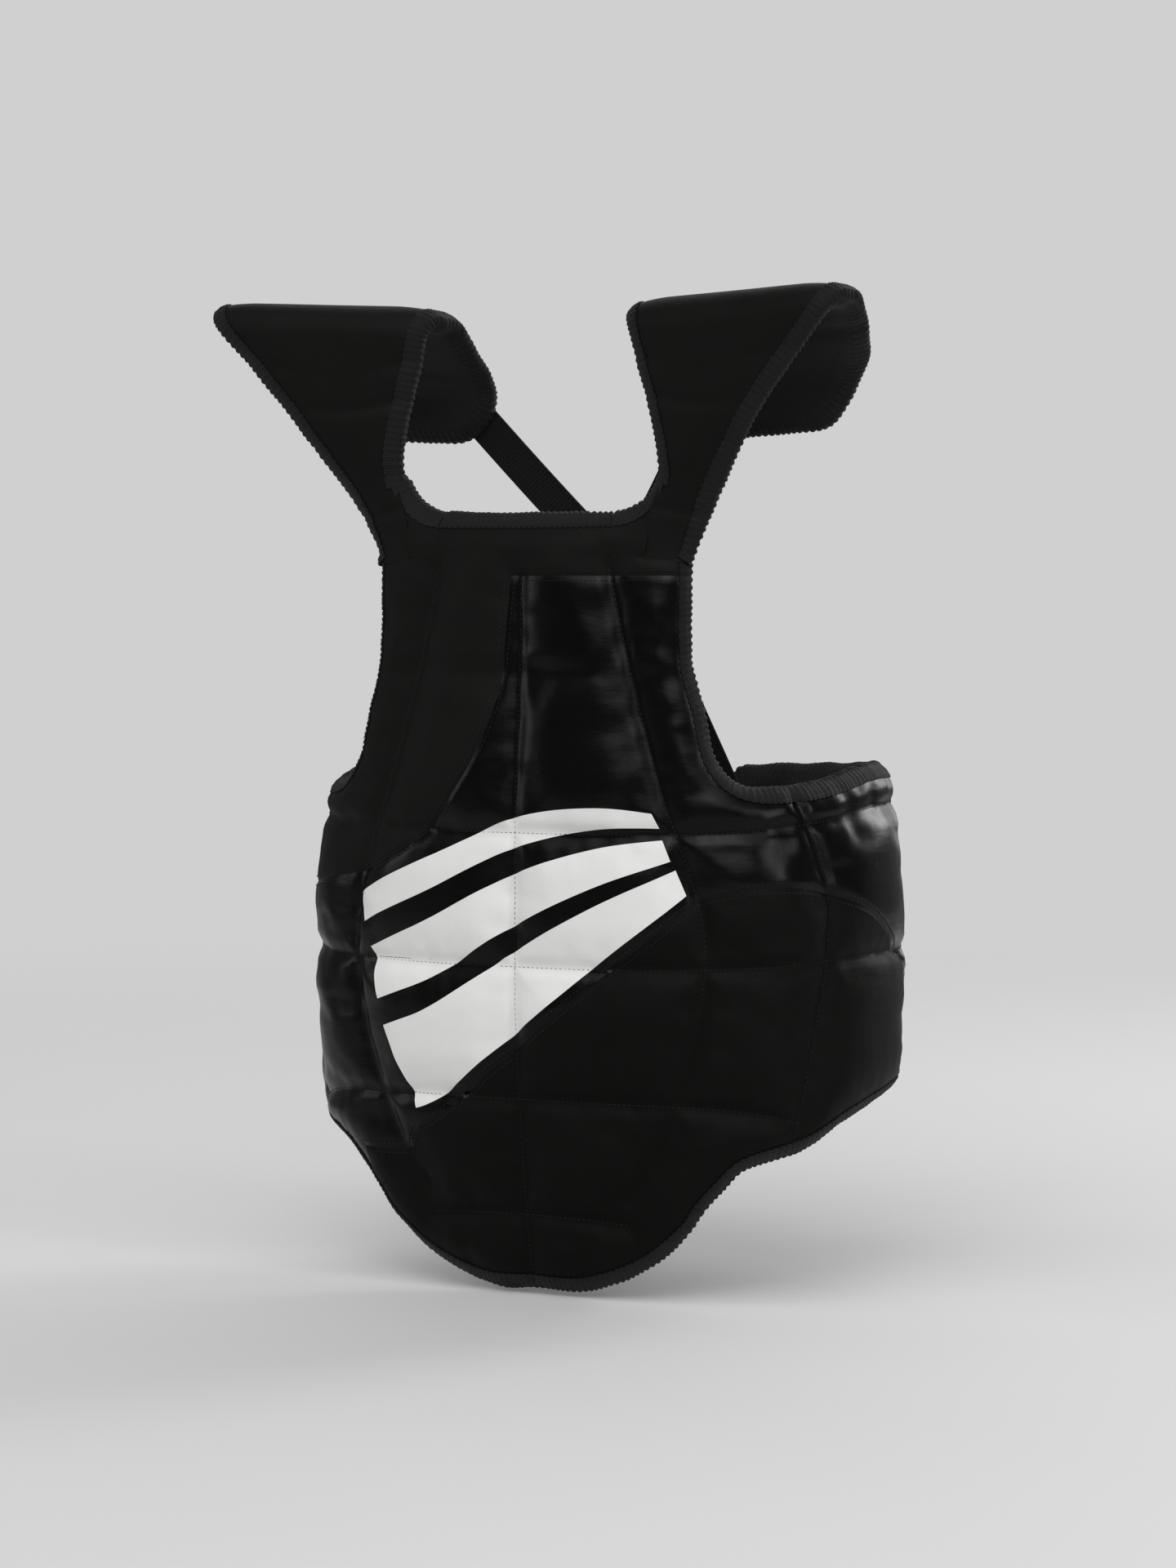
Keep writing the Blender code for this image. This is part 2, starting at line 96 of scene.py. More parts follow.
# Pads and their edges.
GRID = 0.0032               # cell of a padded panel
EDGE_ROUND = 0.020          # how far in from an edge the padding is rounded off
BODY_EDGE_DROP = 0.0075     # how deep the cover dips at an edge
FLAP_EDGE_DROP = 0.0045
STITCH_DIP = 0.0022         # depth of a quilting line
STITCH_HALF = 0.005         # half the width of its valley
SEAM_DIP = 0.0011
COVER_THICK = 0.0011
TAPE_LEG = 0.0075           # edge tape on each face
TAPE_THICK = 0.0009
TAPE_BULGE = 0.0030         # edge tape beyond the edge
PUCKER_PITCH = 0.0046
STITCH_PITCH = 0.0034
STITCH_PROUD = 0.0003       # how far a stitch stands off what it is sewn through


# ---- small maths -----------------------------------------------------------------------
def smooth(x):
    x = np.clip(x, 0.0, 1.0)
    return x * x * (3 - 2 * x)


def unit(vectors):
    return vectors / np.linalg.norm(vectors, axis=1)[:, None]


def lengths_along(line):
    """Length of the line up to each of its points."""
    return np.concatenate([[0], np.cumsum(np.linalg.norm(np.diff(line, axis=0), axis=1))])


def soften(line, passes):
    """The same even line with its corners rounded off; the ends stay."""
    line = line.copy()
    for _ in range(passes):
        line[1:-1] = (line[:-2] + 2 * line[1:-1] + line[2:]) / 4
    return line


def along(knots, t):
    """Values at t (an array) of a smooth curve through the knots, which never overshoots them."""
    xs, ys = np.array(knots, float).T
    chords = np.diff(ys) / np.diff(xs)
    slopes = [chords[0]]
    for before, after in zip(chords, chords[1:]):
        slopes.append(0.0 if before * after <= 0 else 2 * before * after / (before + after))
    slopes = np.array(slopes + [chords[-1]])
    t = np.clip(t, xs[0], xs[-1])
    i = np.clip(np.searchsorted(xs, t) - 1, 0, len(xs) - 2)
    span = xs[i + 1] - xs[i]
    u = (t - xs[i]) / span
    return ((2 * u**3 - 3 * u**2 + 1) * ys[i] + (u**3 - 2 * u**2 + u) * span * slopes[i]
            + (3 * u**2 - 2 * u**3) * ys[i + 1] + (u**3 - u**2) * span * slopes[i + 1])


def curve_through(points, step=GRID):
    """Points at even steps along a smooth curve through the given ones."""
    points = np.array(points, float)
    ghosts = np.vstack([2 * points[0] - points[1], points, 2 * points[-1] - points[-2]])
    dense = []
    for a, b, c, d in zip(ghosts, ghosts[1:], ghosts[2:], ghosts[3:]):
        gaps = [max(1e-6, np.linalg.norm(q - p)) for p, q in ((a, b), (b, c), (c, d))]
        knots = np.cumsum([0] + [gap ** 0.5 for gap in gaps])
        t = np.linspace(knots[1], knots[2], 24, endpoint=False)[:, None]
        t0, t1, t2, t3 = knots
        ab = ((t1 - t) * a + (t - t0) * b) / (t1 - t0)
        bc = ((t2 - t) * b + (t - t1) * c) / (t2 - t1)
        cd = ((t3 - t) * c + (t - t2) * d) / (t3 - t2)
        abc = ((t2 - t) * ab + (t - t0) * bc) / (t2 - t0)
        bcd = ((t3 - t) * bc + (t - t1) * cd) / (t3 - t1)
        dense.append(((t2 - t) * abc + (t - t1) * bcd) / (t2 - t1))
    return even_steps(np.vstack(dense + [points[-1:]]), step)


def even_steps(line, step=GRID):
    """The same line with points at even steps."""
    line = np.array(line, float)
    lengths = lengths_along(line)
    count = max(2, int(round(lengths[-1] / step)) + 1)
    wanted = np.linspace(0, lengths[-1], count)
    return np.column_stack([np.interp(wanted, lengths, column) for column in line.T])


def distance_to(lines, points):
    """Distance from each flat point to the nearest of the lines."""
    best = np.full(len(points), 9.0)
    for line in lines:
        line = even_steps(line, 0.006)
        a, run = line[:-1], np.diff(line, axis=0)
        for start in range(0, len(points), 8000):
            part = points[start:start + 8000, None, :]
            share = np.clip(((part - a) * run).sum(2) / np.maximum((run * run).sum(1), 1e-12), 0, 1)
            gap = np.linalg.norm(part - a - run * share[..., None], axis=2).min(1)
            best[start:start + 8000] = np.minimum(best[start:start + 8000], gap)
    return best


def inside(outline, points):
    """Whether each flat point is inside the closed outline."""
    x, y = points[:, 0], points[:, 1]
    within = np.zeros(len(points), bool)
    for (x0, y0), (x1, y1) in zip(outline, np.roll(outline, -1, axis=0)):
        if y0 != y1:
            within ^= ((y0 > y) != (y1 > y)) & (x < (x1 - x0) * (y - y0) / (y1 - y0) + x0)
    return within


# ---- the vest's surface in pattern space: girth s from the middle of the front, height z ----
def section(angle, z, inset):
    """Places on the vest at girth angles and heights, at the given depths below its outside."""
    half = along(HALF_WIDTH, z) - inset
    depth = np.where(np.abs(angle) < pi / 2, along(FRONT_DEPTH, z), REAR_DEPTH) - inset
    square = SQUARENESS * np.sin(2 * angle)
    return np.stack([half * np.sin(angle + square), -depth * np.cos(angle - square), z + 0 * angle], axis=-1)


GIRTH_ANGLES = np.radians(np.linspace(-178, 178, 713))
GIRTH = lengths_along(section(GIRTH_ANGLES, np.full(len(GIRTH_ANGLES), 0.05), 0.0))
GIRTH -= GIRTH[len(GIRTH) // 2]


def vest(points, inset):
    """Places on the vest for flat points (girth, height) at the given depths."""
    return section(np.interp(points[:, 0], GIRTH, GIRTH_ANGLES), points[:, 1], inset)


def girth_at(degrees):
    """Girth at an angle round the vest."""
    return float(np.interp(radians(degrees), GIRTH_ANGLES, GIRTH))


def girth_at_x(x):
    """Girth of the front at distance x from the middle, measured across the chest."""
    angles = np.radians(np.linspace(0, 60, 600))
    across = HALF_WIDTH[-1][1] * np.sin(angles + SQUARENESS * np.sin(2 * angles))
    return float(np.sign(x) * np.interp(np.interp(abs(x), across, angles), GIRTH_ANGLES, GIRTH))


CHEST_XS = np.linspace(0, 0.19, 96)
CHEST_GIRTHS = np.array([girth_at_x(x) for x in CHEST_XS])


def front(*points):
    """Flat points on the front from places (distance from the middle, height)."""
    return [(girth_at_x(x), z) for x, z in points]


def wing(*points):
    """Flat points on the right wing from places (degrees round, height)."""
    return [(girth_at(d), z) for d, z in points]


def mirrored(line):
    """The same line on the other side, run the other way so that outlines join up."""
    return np.array(line)[::-1] * (-1, 1)


# ---- a shoulder flap's surface: distance x from the middle, length along its section --------
def rounded_path(corners, step):
    """Points along straight runs joined by arcs; each corner is (a, b, radius)."""
    points = [Vector(corners[0][:2])]
    for before, corner, after in zip(corners, corners[1:], corners[2:]):
        here = Vector(corner[:2])
        back = (Vector(before[:2]) - here).normalized()
        ahead = (Vector(after[:2]) - here).normalized()
        half = back.angle(ahead) / 2
        reach = corner[2] / tan(half)
        centre = here + (back + ahead).normalized() * (corner[2] / sin(half))
        arm, end = here + back * reach - centre, here + ahead * reach - centre
        turn = -arm.angle_signed(end)
        steps = max(2, round(abs(turn) * corner[2] / step))
        points += [centre + Matrix.Rotation(turn * i / steps, 2) @ arm for i in range(steps + 1)]
    points.append(Vector(corners[-1][:2]))
    return np.array([tuple(p) for p in points])


SECTION_PATH = even_steps(rounded_path(FLAP_SECTION, 0.002), 0.002)
SECTION_AHEAD = soften(unit(np.gradient(SECTION_PATH, axis=0)), 6)
SECTION_STEPS = lengths_along(SECTION_PATH)
FLAP_LENGTH = SECTION_STEPS[-1]


def flap(points, inset):
    """Places on the right flap for flat points (distance from the middle, length along its section)."""
    x, length = points[:, 0], points[:, 1]
    place = np.clip(length, 0, FLAP_LENGTH)
    sweep = FLAP_SWEEP + (FLAP_FLARE - FLAP_SWEEP) * smooth(length / FLAP_TWIST)
    y = np.interp(place, SECTION_STEPS, SECTION_PATH[:, 0]) + sweep * (x - FLAP_ROOT_X)
    z = np.interp(place, SECTION_STEPS, SECTION_PATH[:, 1]) + np.minimum(length, 0)
    past = np.maximum(length - FLAP_LENGTH, 0)
    climb = FLAP_RISE * np.clip(length / (RIDGE_Z - FLAP_BASE_Z), 0, 1)
    inward_y = np.interp(place, SECTION_STEPS, SECTION_AHEAD[:, 1])
    inward_z = -np.interp(place, SECTION_STEPS, SECTION_AHEAD[:, 0])
    x = x - 0.55 * inset * (1 - smooth(length / 0.035)) * np.clip((x - FLAP_ROOT_X) / 0.032, 0, 1)
    y = y + inward_y * inset - past * inward_z
    z = z + climb * (x - FLAP_ROOT_X) + inward_z * inset + past * inward_y
    return np.stack([x, y, z], axis=-1)


def left_flap(points, inset):
    return flap(points, inset) * (-1, 1, 1)


# ---- outlines and sewn lines in pattern space ----------------------------------------------
def join(*runs):
    """One line from runs that meet end to end."""
    line = [np.array(runs[0], float)]
    for run in runs[1:]:
        run = np.array(run, float)
        line.append(run[1:] if np.allclose(run[0], line[-1][-1], atol=1e-7) else run)
    return np.vstack(line)


HINGE_S = girth_at_x(HINGE_X)
END_S = girth_at(WING_END)
ARMHOLE = curve_through(front((CHEST_HALF, SEAM_Z), (0.1212, 0.235), (0.1216, 0.208), (0.1232, 0.187),
                              (HINGE_X, HINGE_TOP_Z))
                        + wing((35.0, 0.160), (38, 0.1275), (42.5, 0.112), (48, 0.106), (60, 0.1055),
                               (75, 0.110), (90, 0.117), (105, 0.118), (130, 0.115), (155, 0.1125)))
WING_TIP = even_steps(rounded_path([(*ARMHOLE[-1], 0), (END_S, 0.110, 0.013), (END_S, -0.099, 0.013),
                                    (*wing((155, -0.099))[0], 0)], 0.003))
FOOT = curve_through(wing((155, -0.099), (130, -0.0995), (110, -0.101), (90, -0.107), (75, -0.117),
                          (60, -0.133), (48, -0.141), (42.5, -0.147), (38, -0.160))
                     + front((HINGE_X, HINGE_FOOT_Z), (0.1195, -0.1885), (0.0945, -0.2110), (0.0715, -0.2230),
                             (0.0385, -0.2325), (0, APRON_Z - 0.0006)))
RIGHT_EDGE = join(ARMHOLE, WING_TIP, FOOT)
LEFT_EDGE = mirrored(RIGHT_EDGE)
GUSSET_X = 0.066
NECK_STEP = even_steps(front((GUSSET_X, NECKLINE_Z), (GUSSET_X, SEAM_Z)))
NECK = even_steps(front((-GUSSET_X, NECKLINE_Z), (-0.04, NECKLINE_Z - 0.0004), (0, NECKLINE_Z - 0.0006),
                        (0.04, NECKLINE_Z - 0.0004), (GUSSET_X, NECKLINE_Z)))
FLAP_SEAM = even_steps(front((GUSSET_X, SEAM_Z), (CHEST_HALF, SEAM_Z)))
FLAP_JOIN = even_steps(front((0.0885, SEAM_Z), (CHEST_HALF, SEAM_Z)))
NECK_CORNER = curve_through(front((GUSSET_X, NECKLINE_Z), (0.0745, 0.2893), (0.0830, 0.2928),
                                  (0.0905, 0.2990), (0.0960, 0.3070), (0.0990, 0.3150)))
OUTLINE = [RIGHT_EDGE, LEFT_EDGE, NECK, NECK_CORNER, NECK_CORNER * (-1, 1)]

SASH_UPPER = join(
    curve_through(front((-HINGE_X, SASH_HIGH_Z), (-0.104, 0.053), (-0.085, 0.064), (-0.065, 0.078),
                        (-0.045, 0.103), (-0.028, 0.131), (-0.015, 0.169), (-0.007, SASH_TOP_Z))),
    even_steps(front((-0.007, SASH_TOP_Z), (0.1213, SASH_TOP_Z))))
SASH_LOWER = join(
    curve_through(front((-HINGE_X, SASH_FOOT_Z), (-0.105, -0.1448), (-0.0885, -0.1440))),
    curve_through(front((-0.0885, -0.1440), (-0.0840, -0.134), (-0.078, -0.1275), (-0.065, -0.1215),
                        (0, -0.0700), (0.065, -0.0165), (HINGE_X, 0.034))))
RIGHT_SEAM = curve_through(front((HINGE_X, 0.034)) + wing((45, 0.041), (56, 0.042), (70, 0.035), (81, 0.024),
                           (97, -0.006), (112, -0.028), (135, -0.040), (169, -0.045)))
LEFT_SEAM = curve_through([(-s, z) for s, z in front((HINGE_X, SASH_HIGH_Z))
                           + wing((60, 0.034), (100, 0.030), (169, 0.030))])


def both(line):
    return [np.array(line), mirrored(line)]


MERIDIAN = curve_through(front((0.066, 0.252), (0.079, 0.196), (0.095, 0.14), (0.1125, 0.082), (0.123, 0.045),
                               (0.130, 0.0), (0.122, -0.06), (0.095, -0.14), (0.078, -0.168)), 0.006)
WING_RIB = curve_through(wing((60, 0.100), (64, 0.070), (68, 0.034), (66, -0.015), (62.5, -0.06),
                              (57, -0.122)), 0.006)
REAR_RIB = curve_through(wing((112, 0.112), (114, 0.050), (113, -0.02), (109, -0.095)), 0.006)


def ring(centre_z, *wing_points):
    """A quilting line across the front that runs on round both wings."""
    half = curve_through(front((0, centre_z), (0.06, centre_z)) + wing(*wing_points), 0.006)
    return join(mirrored(half), half)


UPPER_RING = ring(0.076, (34, 0.0775), (62, 0.083), (84, 0.0905), (110, 0.0935), (166, 0.088))
MIDDLE_RING = ring(-0.014, (34, -0.0125), (62, -0.009), (84, -0.006), (110, -0.006), (166, -0.008))
LOWER_RING = ring(-0.104, (34, -0.105), (45, -0.108), (57, -0.1150))
CENTRE = np.array(front((0, 0.246), (0, 0.1), (0, -0.1), (0, -0.224)))
APRON_ROW = curve_through(front((-0.075, -0.186), (0, -0.183), (0.075, -0.186)), 0.006)
QUILTING = (both(MERIDIAN) + both(WING_RIB) + both(REAR_RIB)
            + [UPPER_RING, MIDDLE_RING, LOWER_RING, CENTRE, APRON_ROW])
SEAMS = [SASH_UPPER, SASH_LOWER, RIGHT_SEAM, LEFT_SEAM]
FLAP_SEAMS = both(FLAP_JOIN)


def flap_line(knots, shares):
    return [(float(along(knots, s)), s / FLAP_DRAWN * FLAP_LENGTH) for s in shares]


FLAP_INNER = [(0, FLAP_ROOT_X), (0.024, 0.0920), (0.036, 0.0985), (0.052, 0.1020), (0.080, 0.0970),
              (0.120, 0.0850), (0.165, 0.0750), (0.262, 0.0740), (0.276, 0.0800), (FLAP_DRAWN, 0.0960)]
FLAP_OUTER = [(0, CHEST_HALF), (0.030, 0.1340), (0.060, 0.1555), (0.090, 0.1790), (0.118, 0.2060),
              (0.148, 0.2330), (0.175, 0.2380), (0.220, 0.2300), (0.262, 0.2120), (FLAP_DRAWN, 0.1880)]
SHARES = np.linspace(0, FLAP_DRAWN, 60)
FLAP_EDGE = join(flap_line(FLAP_INNER, SHARES), flap_line(FLAP_OUTER, SHARES)[::-1])
FLAP_EDGE = soften(even_steps(FLAP_EDGE), 10)
FLAP_FOOT = even_steps([FLAP_EDGE[-1], FLAP_EDGE[0]])
FLAP_BOUND = FLAP_EDGE[int(np.argmax(FLAP_EDGE[:, 1] > 0.046)):]
FLAP_TAPED = np.vstack([FLAP_BOUND, FLAP_BOUND[-1:] - (0.0014, 0.0030), FLAP_BOUND[-1:] - (0.0034, 0.0058)])


def corner(points, inset):
    """Places on the gusset beside the neck, which turns from the front into the flap."""
    x = vest(points, np.zeros(len(points)))[:, 0]
    share = smooth((points[:, 1] - 0.270) / 0.030)[:, None]
    on_flap = flap(np.column_stack([x, points[:, 1] - FLAP_BASE_Z]), inset)
    return vest(points, inset) * (1 - share) + on_flap * share


def left_corner(points, inset):
    return corner(points, inset) * (-1, 1, 1)


# ---- how deep the cover and the lining lie ---------------------------------------------------
PUFF = None                 # what the cloth simulation adds, on a lattice


def rounding(gap, width):
    """1 at an edge, falling to 0 at width from it, like the side of a pillow."""
    u = 1 - np.clip(gap / width, 0, 1)
    return 1 - np.sqrt(np.maximum(0, 1 - u * u))


def ripples(points, scale, seed):
    """Smooth noise between about -1 and 1 over flat points."""
    return np.array([noise.noise((s * scale, z * scale, seed)) for s, z in points])


def cover_inset(points):
    """Depth of the body cover: crowned between its sewn lines and rounded off at its edges."""
    edge = distance_to(OUTLINE, points)
    quilted = distance_to(QUILTING, points)
    seam = np.minimum(distance_to(SEAMS, points), 1.0)
    foot = distance_to(FLAP_SEAMS, points)
    inset = 0.0008 + BODY_EDGE_DROP * rounding(edge, EDGE_ROUND) + 0.0022 * rounding(foot, 0.010)
    inset += STITCH_DIP * np.exp(-(quilted / STITCH_HALF) ** 2) + SEAM_DIP * np.exp(-(seam / 0.0022) ** 2)
    inset -= 0.0022 * smooth(np.minimum(quilted, edge) / 0.032)
    near = np.exp(-(np.minimum(quilted, edge * 0.7) / 0.016) ** 2)
    inset += 0.00075 * near * ripples(points * (1.0, 0.6), 85.0, 3.1)
    inset += 0.0004 * ripples(points, 24.0, 8.2)
    if PUFF is not None:
        inset -= PUFF(points)
    return inset


def lining_inset(points):
    """Depth of the body lining, drawn up to the cover at its edges and quilting."""
    edge = distance_to(OUTLINE, points)
    foot = distance_to(FLAP_SEAMS, points)
    inset = BODY_DEPTH - 0.0009 - 0.0062 * rounding(edge, EDGE_ROUND) - 0.0050 * rounding(foot, 0.016)
    inset -= 0.0016 * np.exp(-(distance_to(QUILTING, points) / 0.005) ** 2)
    return inset + 0.0006 * ripples(points, 40.0, 5.5)


def deeper(depth, by):
    """The same depths, further in by so much."""
    return lambda points: depth(points) + by


def meet_chest(x):
    """How far a flap's foot sinks to lie on the chest."""
    girths = np.interp(x, CHEST_XS, CHEST_GIRTHS)
    foot = np.column_stack([girths, np.full(len(x), SEAM_Z)])
    chest = vest(foot, np.full(len(x), 0.0008))[:, 1]
    return chest - flap(np.column_stack([x, np.full(len(x), -0.0025)]), np.zeros(len(x)))[:, 1] + 0.0002


def flap_cover_inset(points):
    """Depth of a flap's cover, with creases across it where it bends over the shoulder."""
    edge = distance_to([FLAP_BOUND], points)
    x, length = points.T
    inset = 0.0006 + FLAP_EDGE_DROP * rounding(edge, 0.016)
    inset += meet_chest(x) * (1 - smooth((length + 0.004) / 0.026))
    wander = length + 0.012 * ripples(points * (1.0, 0.35), 14.0, 2.4)
    for place in (0.032, 0.058, 0.081, 0.108, 0.132):
        reach = 0.5 + 0.5 * np.sin(38 * x + 90 * place)
        inset += 0.0017 * reach * np.exp(-((wander - place) / 0.0042) ** 2)
    inset -= 0.0016 * smooth(edge / 0.030)
    return inset + 0.0010 * ripples(points * (0.6, 1.6), 26.0, 9.4)


def flap_lining_inset(points):
    """Depth of a flap's lining, which bunches on the inside of the bend."""
    edge = distance_to([FLAP_BOUND], points)
    x, length = points.T
    inset = FLAP_DEPTH - 0.0012 - 0.0036 * rounding(edge, 0.016) - 0.0012 * rounding(length + 0.003, 0.012)
    wander = length + 0.020 * ripples(points * (1.0, 0.35), 11.0, 6.6)
    for place in (0.150, 0.176, 0.203, 0.232, 0.259):
        reach = 0.45 + 0.55 * np.sin(31 * x + 140 * place)
        inset -= 0.0021 * reach * np.exp(-((wander - place) / 0.0055) ** 2)
    return inset + 0.0012 * ripples(points * (0.6, 1.5), 28.0, 1.7)


# ---- mesh makers ---------------------------------------------------------------------------
def make(name, points, faces, finish, uvs=None):
    """A finished object from points and faces, with its faces turned outward."""
    name = name + "_sewn" if name in bpy.data.objects else name
    mesh = bpy.data.meshes.new(name)
    mesh.from_pydata([tuple(p) for p in points], [], [tuple(int(i) for i in f) for f in faces])
    if uvs is not None:
        layer = mesh.uv_layers.new(name="pattern")
        flat = np.array(uvs)[[loop.vertex_index for loop in mesh.loops]]
        layer.data.foreach_set("uv", flat.ravel())
    work = bmesh.new()
    work.from_mesh(mesh)
    bmesh.ops.recalc_face_normals(work, faces=work.faces)
    work.to_mesh(mesh)
    work.free()
    mesh.shade_smooth()
    mesh.set_sharp_from_angle(angle=radians(48))
    piece = bpy.data.objects.new(name, mesh)
    bpy.context.scene.collection.objects.link(piece)
    piece.data.materials.append(finish)
    return piece


def fill_outline(outline, step):
    """Flat points and triangles that fill a closed outline."""
    outline = np.array(outline)
    if np.allclose(outline[0], outline[-1], atol=1e-6):
        outline = outline[:-1]
    low, high = outline.min(0), outline.max(0)
    grid = np.meshgrid(np.arange(low[0], high[0], step), np.arange(low[1], high[1], step))
    grid = np.stack(grid, -1).reshape(-1, 2)
    grid = grid[inside(outline, grid)]
    closed = np.vstack([outline, outline[:1]])
    grid = grid[distance_to([closed], grid) > step * 0.55]
    everything = [Vector(p) for p in np.vstack([outline, grid])]
    ring_edges = [(i, (i + 1) % len(outline)) for i in range(len(outline))]
    made = geometry.delaunay_2d_cdt(everything, ring_edges, [list(range(len(outline)))], 1, 1e-7)
    return np.array([tuple(p) for p in made[0]]), np.array([f for f in made[2] if len(f) == 3])


def shell(name, outline, surface, near, far, finish, step=GRID):
    """A closed sheet or pad over a flat outline, between the depths that near and far give."""
    flat, triangles = fill_outline(outline, step)
    outer, inner = near(flat), far(flat)
    count = len(flat)
    edges = np.sort(np.vstack([triangles[:, [0, 1]], triangles[:, [1, 2]], triangles[:, [2, 0]]]), axis=1)
    kinds, uses = np.unique(edges, axis=0, return_counts=True)
    walls = [(a, b, b + count, a + count) for a, b in kinds[uses == 1]]
    faces = [tuple(t) for t in triangles] + [tuple(t[::-1] + count) for t in triangles] + walls
    points = np.vstack([surface(flat, outer), surface(flat, inner)])
    return make(name, points, faces, finish, np.vstack([flat, flat]))


def strip_faces(count, across):
    """Faces of a closed strip of rings of points, with a face over each end."""
    faces = []
    for i in range(0, (count - 1) * across, across):
        for j in range(across):
            faces.append((i + j, i + (j + 1) % across, i + across + (j + 1) % across, i + across + j))
    return faces + [tuple(range(across)), tuple((count - 1) * across + j for j in range(across))]


def tape(name, path, pad_side, surface, near, far, finish, leg=TAPE_LEG, bulge=TAPE_BULGE):
    """Edge tape folded over a pad's edge, puckered by its stitching."""
    path = even_steps(path, PUCKER_PITCH / 4)
    ahead = unit(soften(np.gradient(path, axis=0), 5))
    into = np.stack([ahead[:, 1], -ahead[:, 0]], axis=-1) * pad_side
    count = len(path)
    phase = np.arange(count) * pi / 2
    wave = np.sin(phase + 0.9 * np.sin(phase * 0.137))
    wobble = 0.35 * ripples(path, 55.0, 4.4)
    rows, uvs = [], []
    profile = [(1.0, -1), (0.97, -1), (0.6, -1), (0.25, -1)]
    profile += [(a, 0) for a in np.linspace(-75, 75, 7)] + [(0.25, 1), (0.6, 1), (0.97, 1), (1.0, 1)]
    shares = [1.0, 0.6, 0.25, 0.0]
    top_at = [near(path + into * leg * f) for f in shares]
    low_at = [far(path + into * leg * f) for f in shares]
    for number, (share, kind) in enumerate(profile):
        if kind:
            known = top_at if kind < 0 else low_at
            if share in shares:
                base = known[shares.index(share)]
            else:
                base = known[0] + (known[1] - known[0]) * (1.0 - share) / (1.0 - shares[1])
            lift = -0.0006 if share == 1.0 else TAPE_THICK + (0.00032 if share > 0.9 else 0.00045) * wave
            reach = leg * share * (1 + 0.05 * wave * (share > 0.5))
            depth = base + kind * lift
        else:
            turn = radians(share)
            middle, half = (top_at[3] + low_at[3]) / 2, (low_at[3] - top_at[3]) / 2 + TAPE_THICK
            reach = -(bulge * (1 + wobble) + 0.00070 * wave) * cos(turn) ** 0.8
            depth = middle + half * np.sin(turn)
        rows.append(surface(path + into * np.reshape(reach, (-1, 1)), depth))
        uvs.append(np.stack([np.arange(count) * PUCKER_PITCH / 4, np.full(count, number * 0.0022)], axis=-1))
    points, flat = np.stack(rows, 1).reshape(-1, 3), np.stack(uvs, 1).reshape(-1, 2)
    return make(name, points, strip_faces(count, len(profile)), finish, flat)


def webbing(name, centres, outs, width, thickness, finish):
    """Flat elastic along a line of centres, with thicker edges."""
    centres, outs = np.array(centres), np.array(outs)
    ahead = unit(np.gradient(centres, axis=0))
    outs = unit(outs - ahead * (outs * ahead).sum(1)[:, None])
    sideways = np.cross(ahead, outs)
    half = width / 2
    profile = [(-half, 0.0), (-half + 0.0005, 0.62), (-half + 0.0018, 0.62), (-half + 0.0024, 0.45)]
    ribs = np.linspace(-half + 0.0040, half - 0.0040, 13)
    profile += [(x, 0.45 + 0.05 * (i % 2)) for i, x in enumerate(ribs)]
    profile += [(half - 0.0024, 0.45), (half - 0.0018, 0.62), (half - 0.0005, 0.62), (half, 0.0)]
    profile += [(x, -y) for x, y in profile[-2:0:-1]]
    points, flat = [], []
    for centre, out, side, run in zip(centres, outs, sideways, lengths_along(centres)):
        for x, y in profile:
            points.append(centre + side * x + out * y * thickness)
            flat.append((run, x))
    return make(name, points, strip_faces(len(centres), len(profile)), finish, flat)


# ---- finishes ------------------------------------------------------------------------------
def maths(operation, swapped=False):
    """A method that adds a Math node to the finish's tree."""
    def method(self, other=0.0):
        a, b = (other, self) if swapped else (self, other)
        return self.finish.node("ShaderNodeMath", {"operation": operation}, {0: a, 1: b})
    return method


class Value:
    """A shader socket that takes part in arithmetic."""

    def __init__(self, finish, socket):
        self.finish, self.socket = finish, socket

    __add__, __radd__ = maths("ADD"), maths("ADD", True)
    __sub__, __rsub__ = maths("SUBTRACT"), maths("SUBTRACT", True)
    __mul__, __rmul__ = maths("MULTIPLY"), maths("MULTIPLY", True)
    __pow__ = maths("POWER")
    sine = maths("SINE")


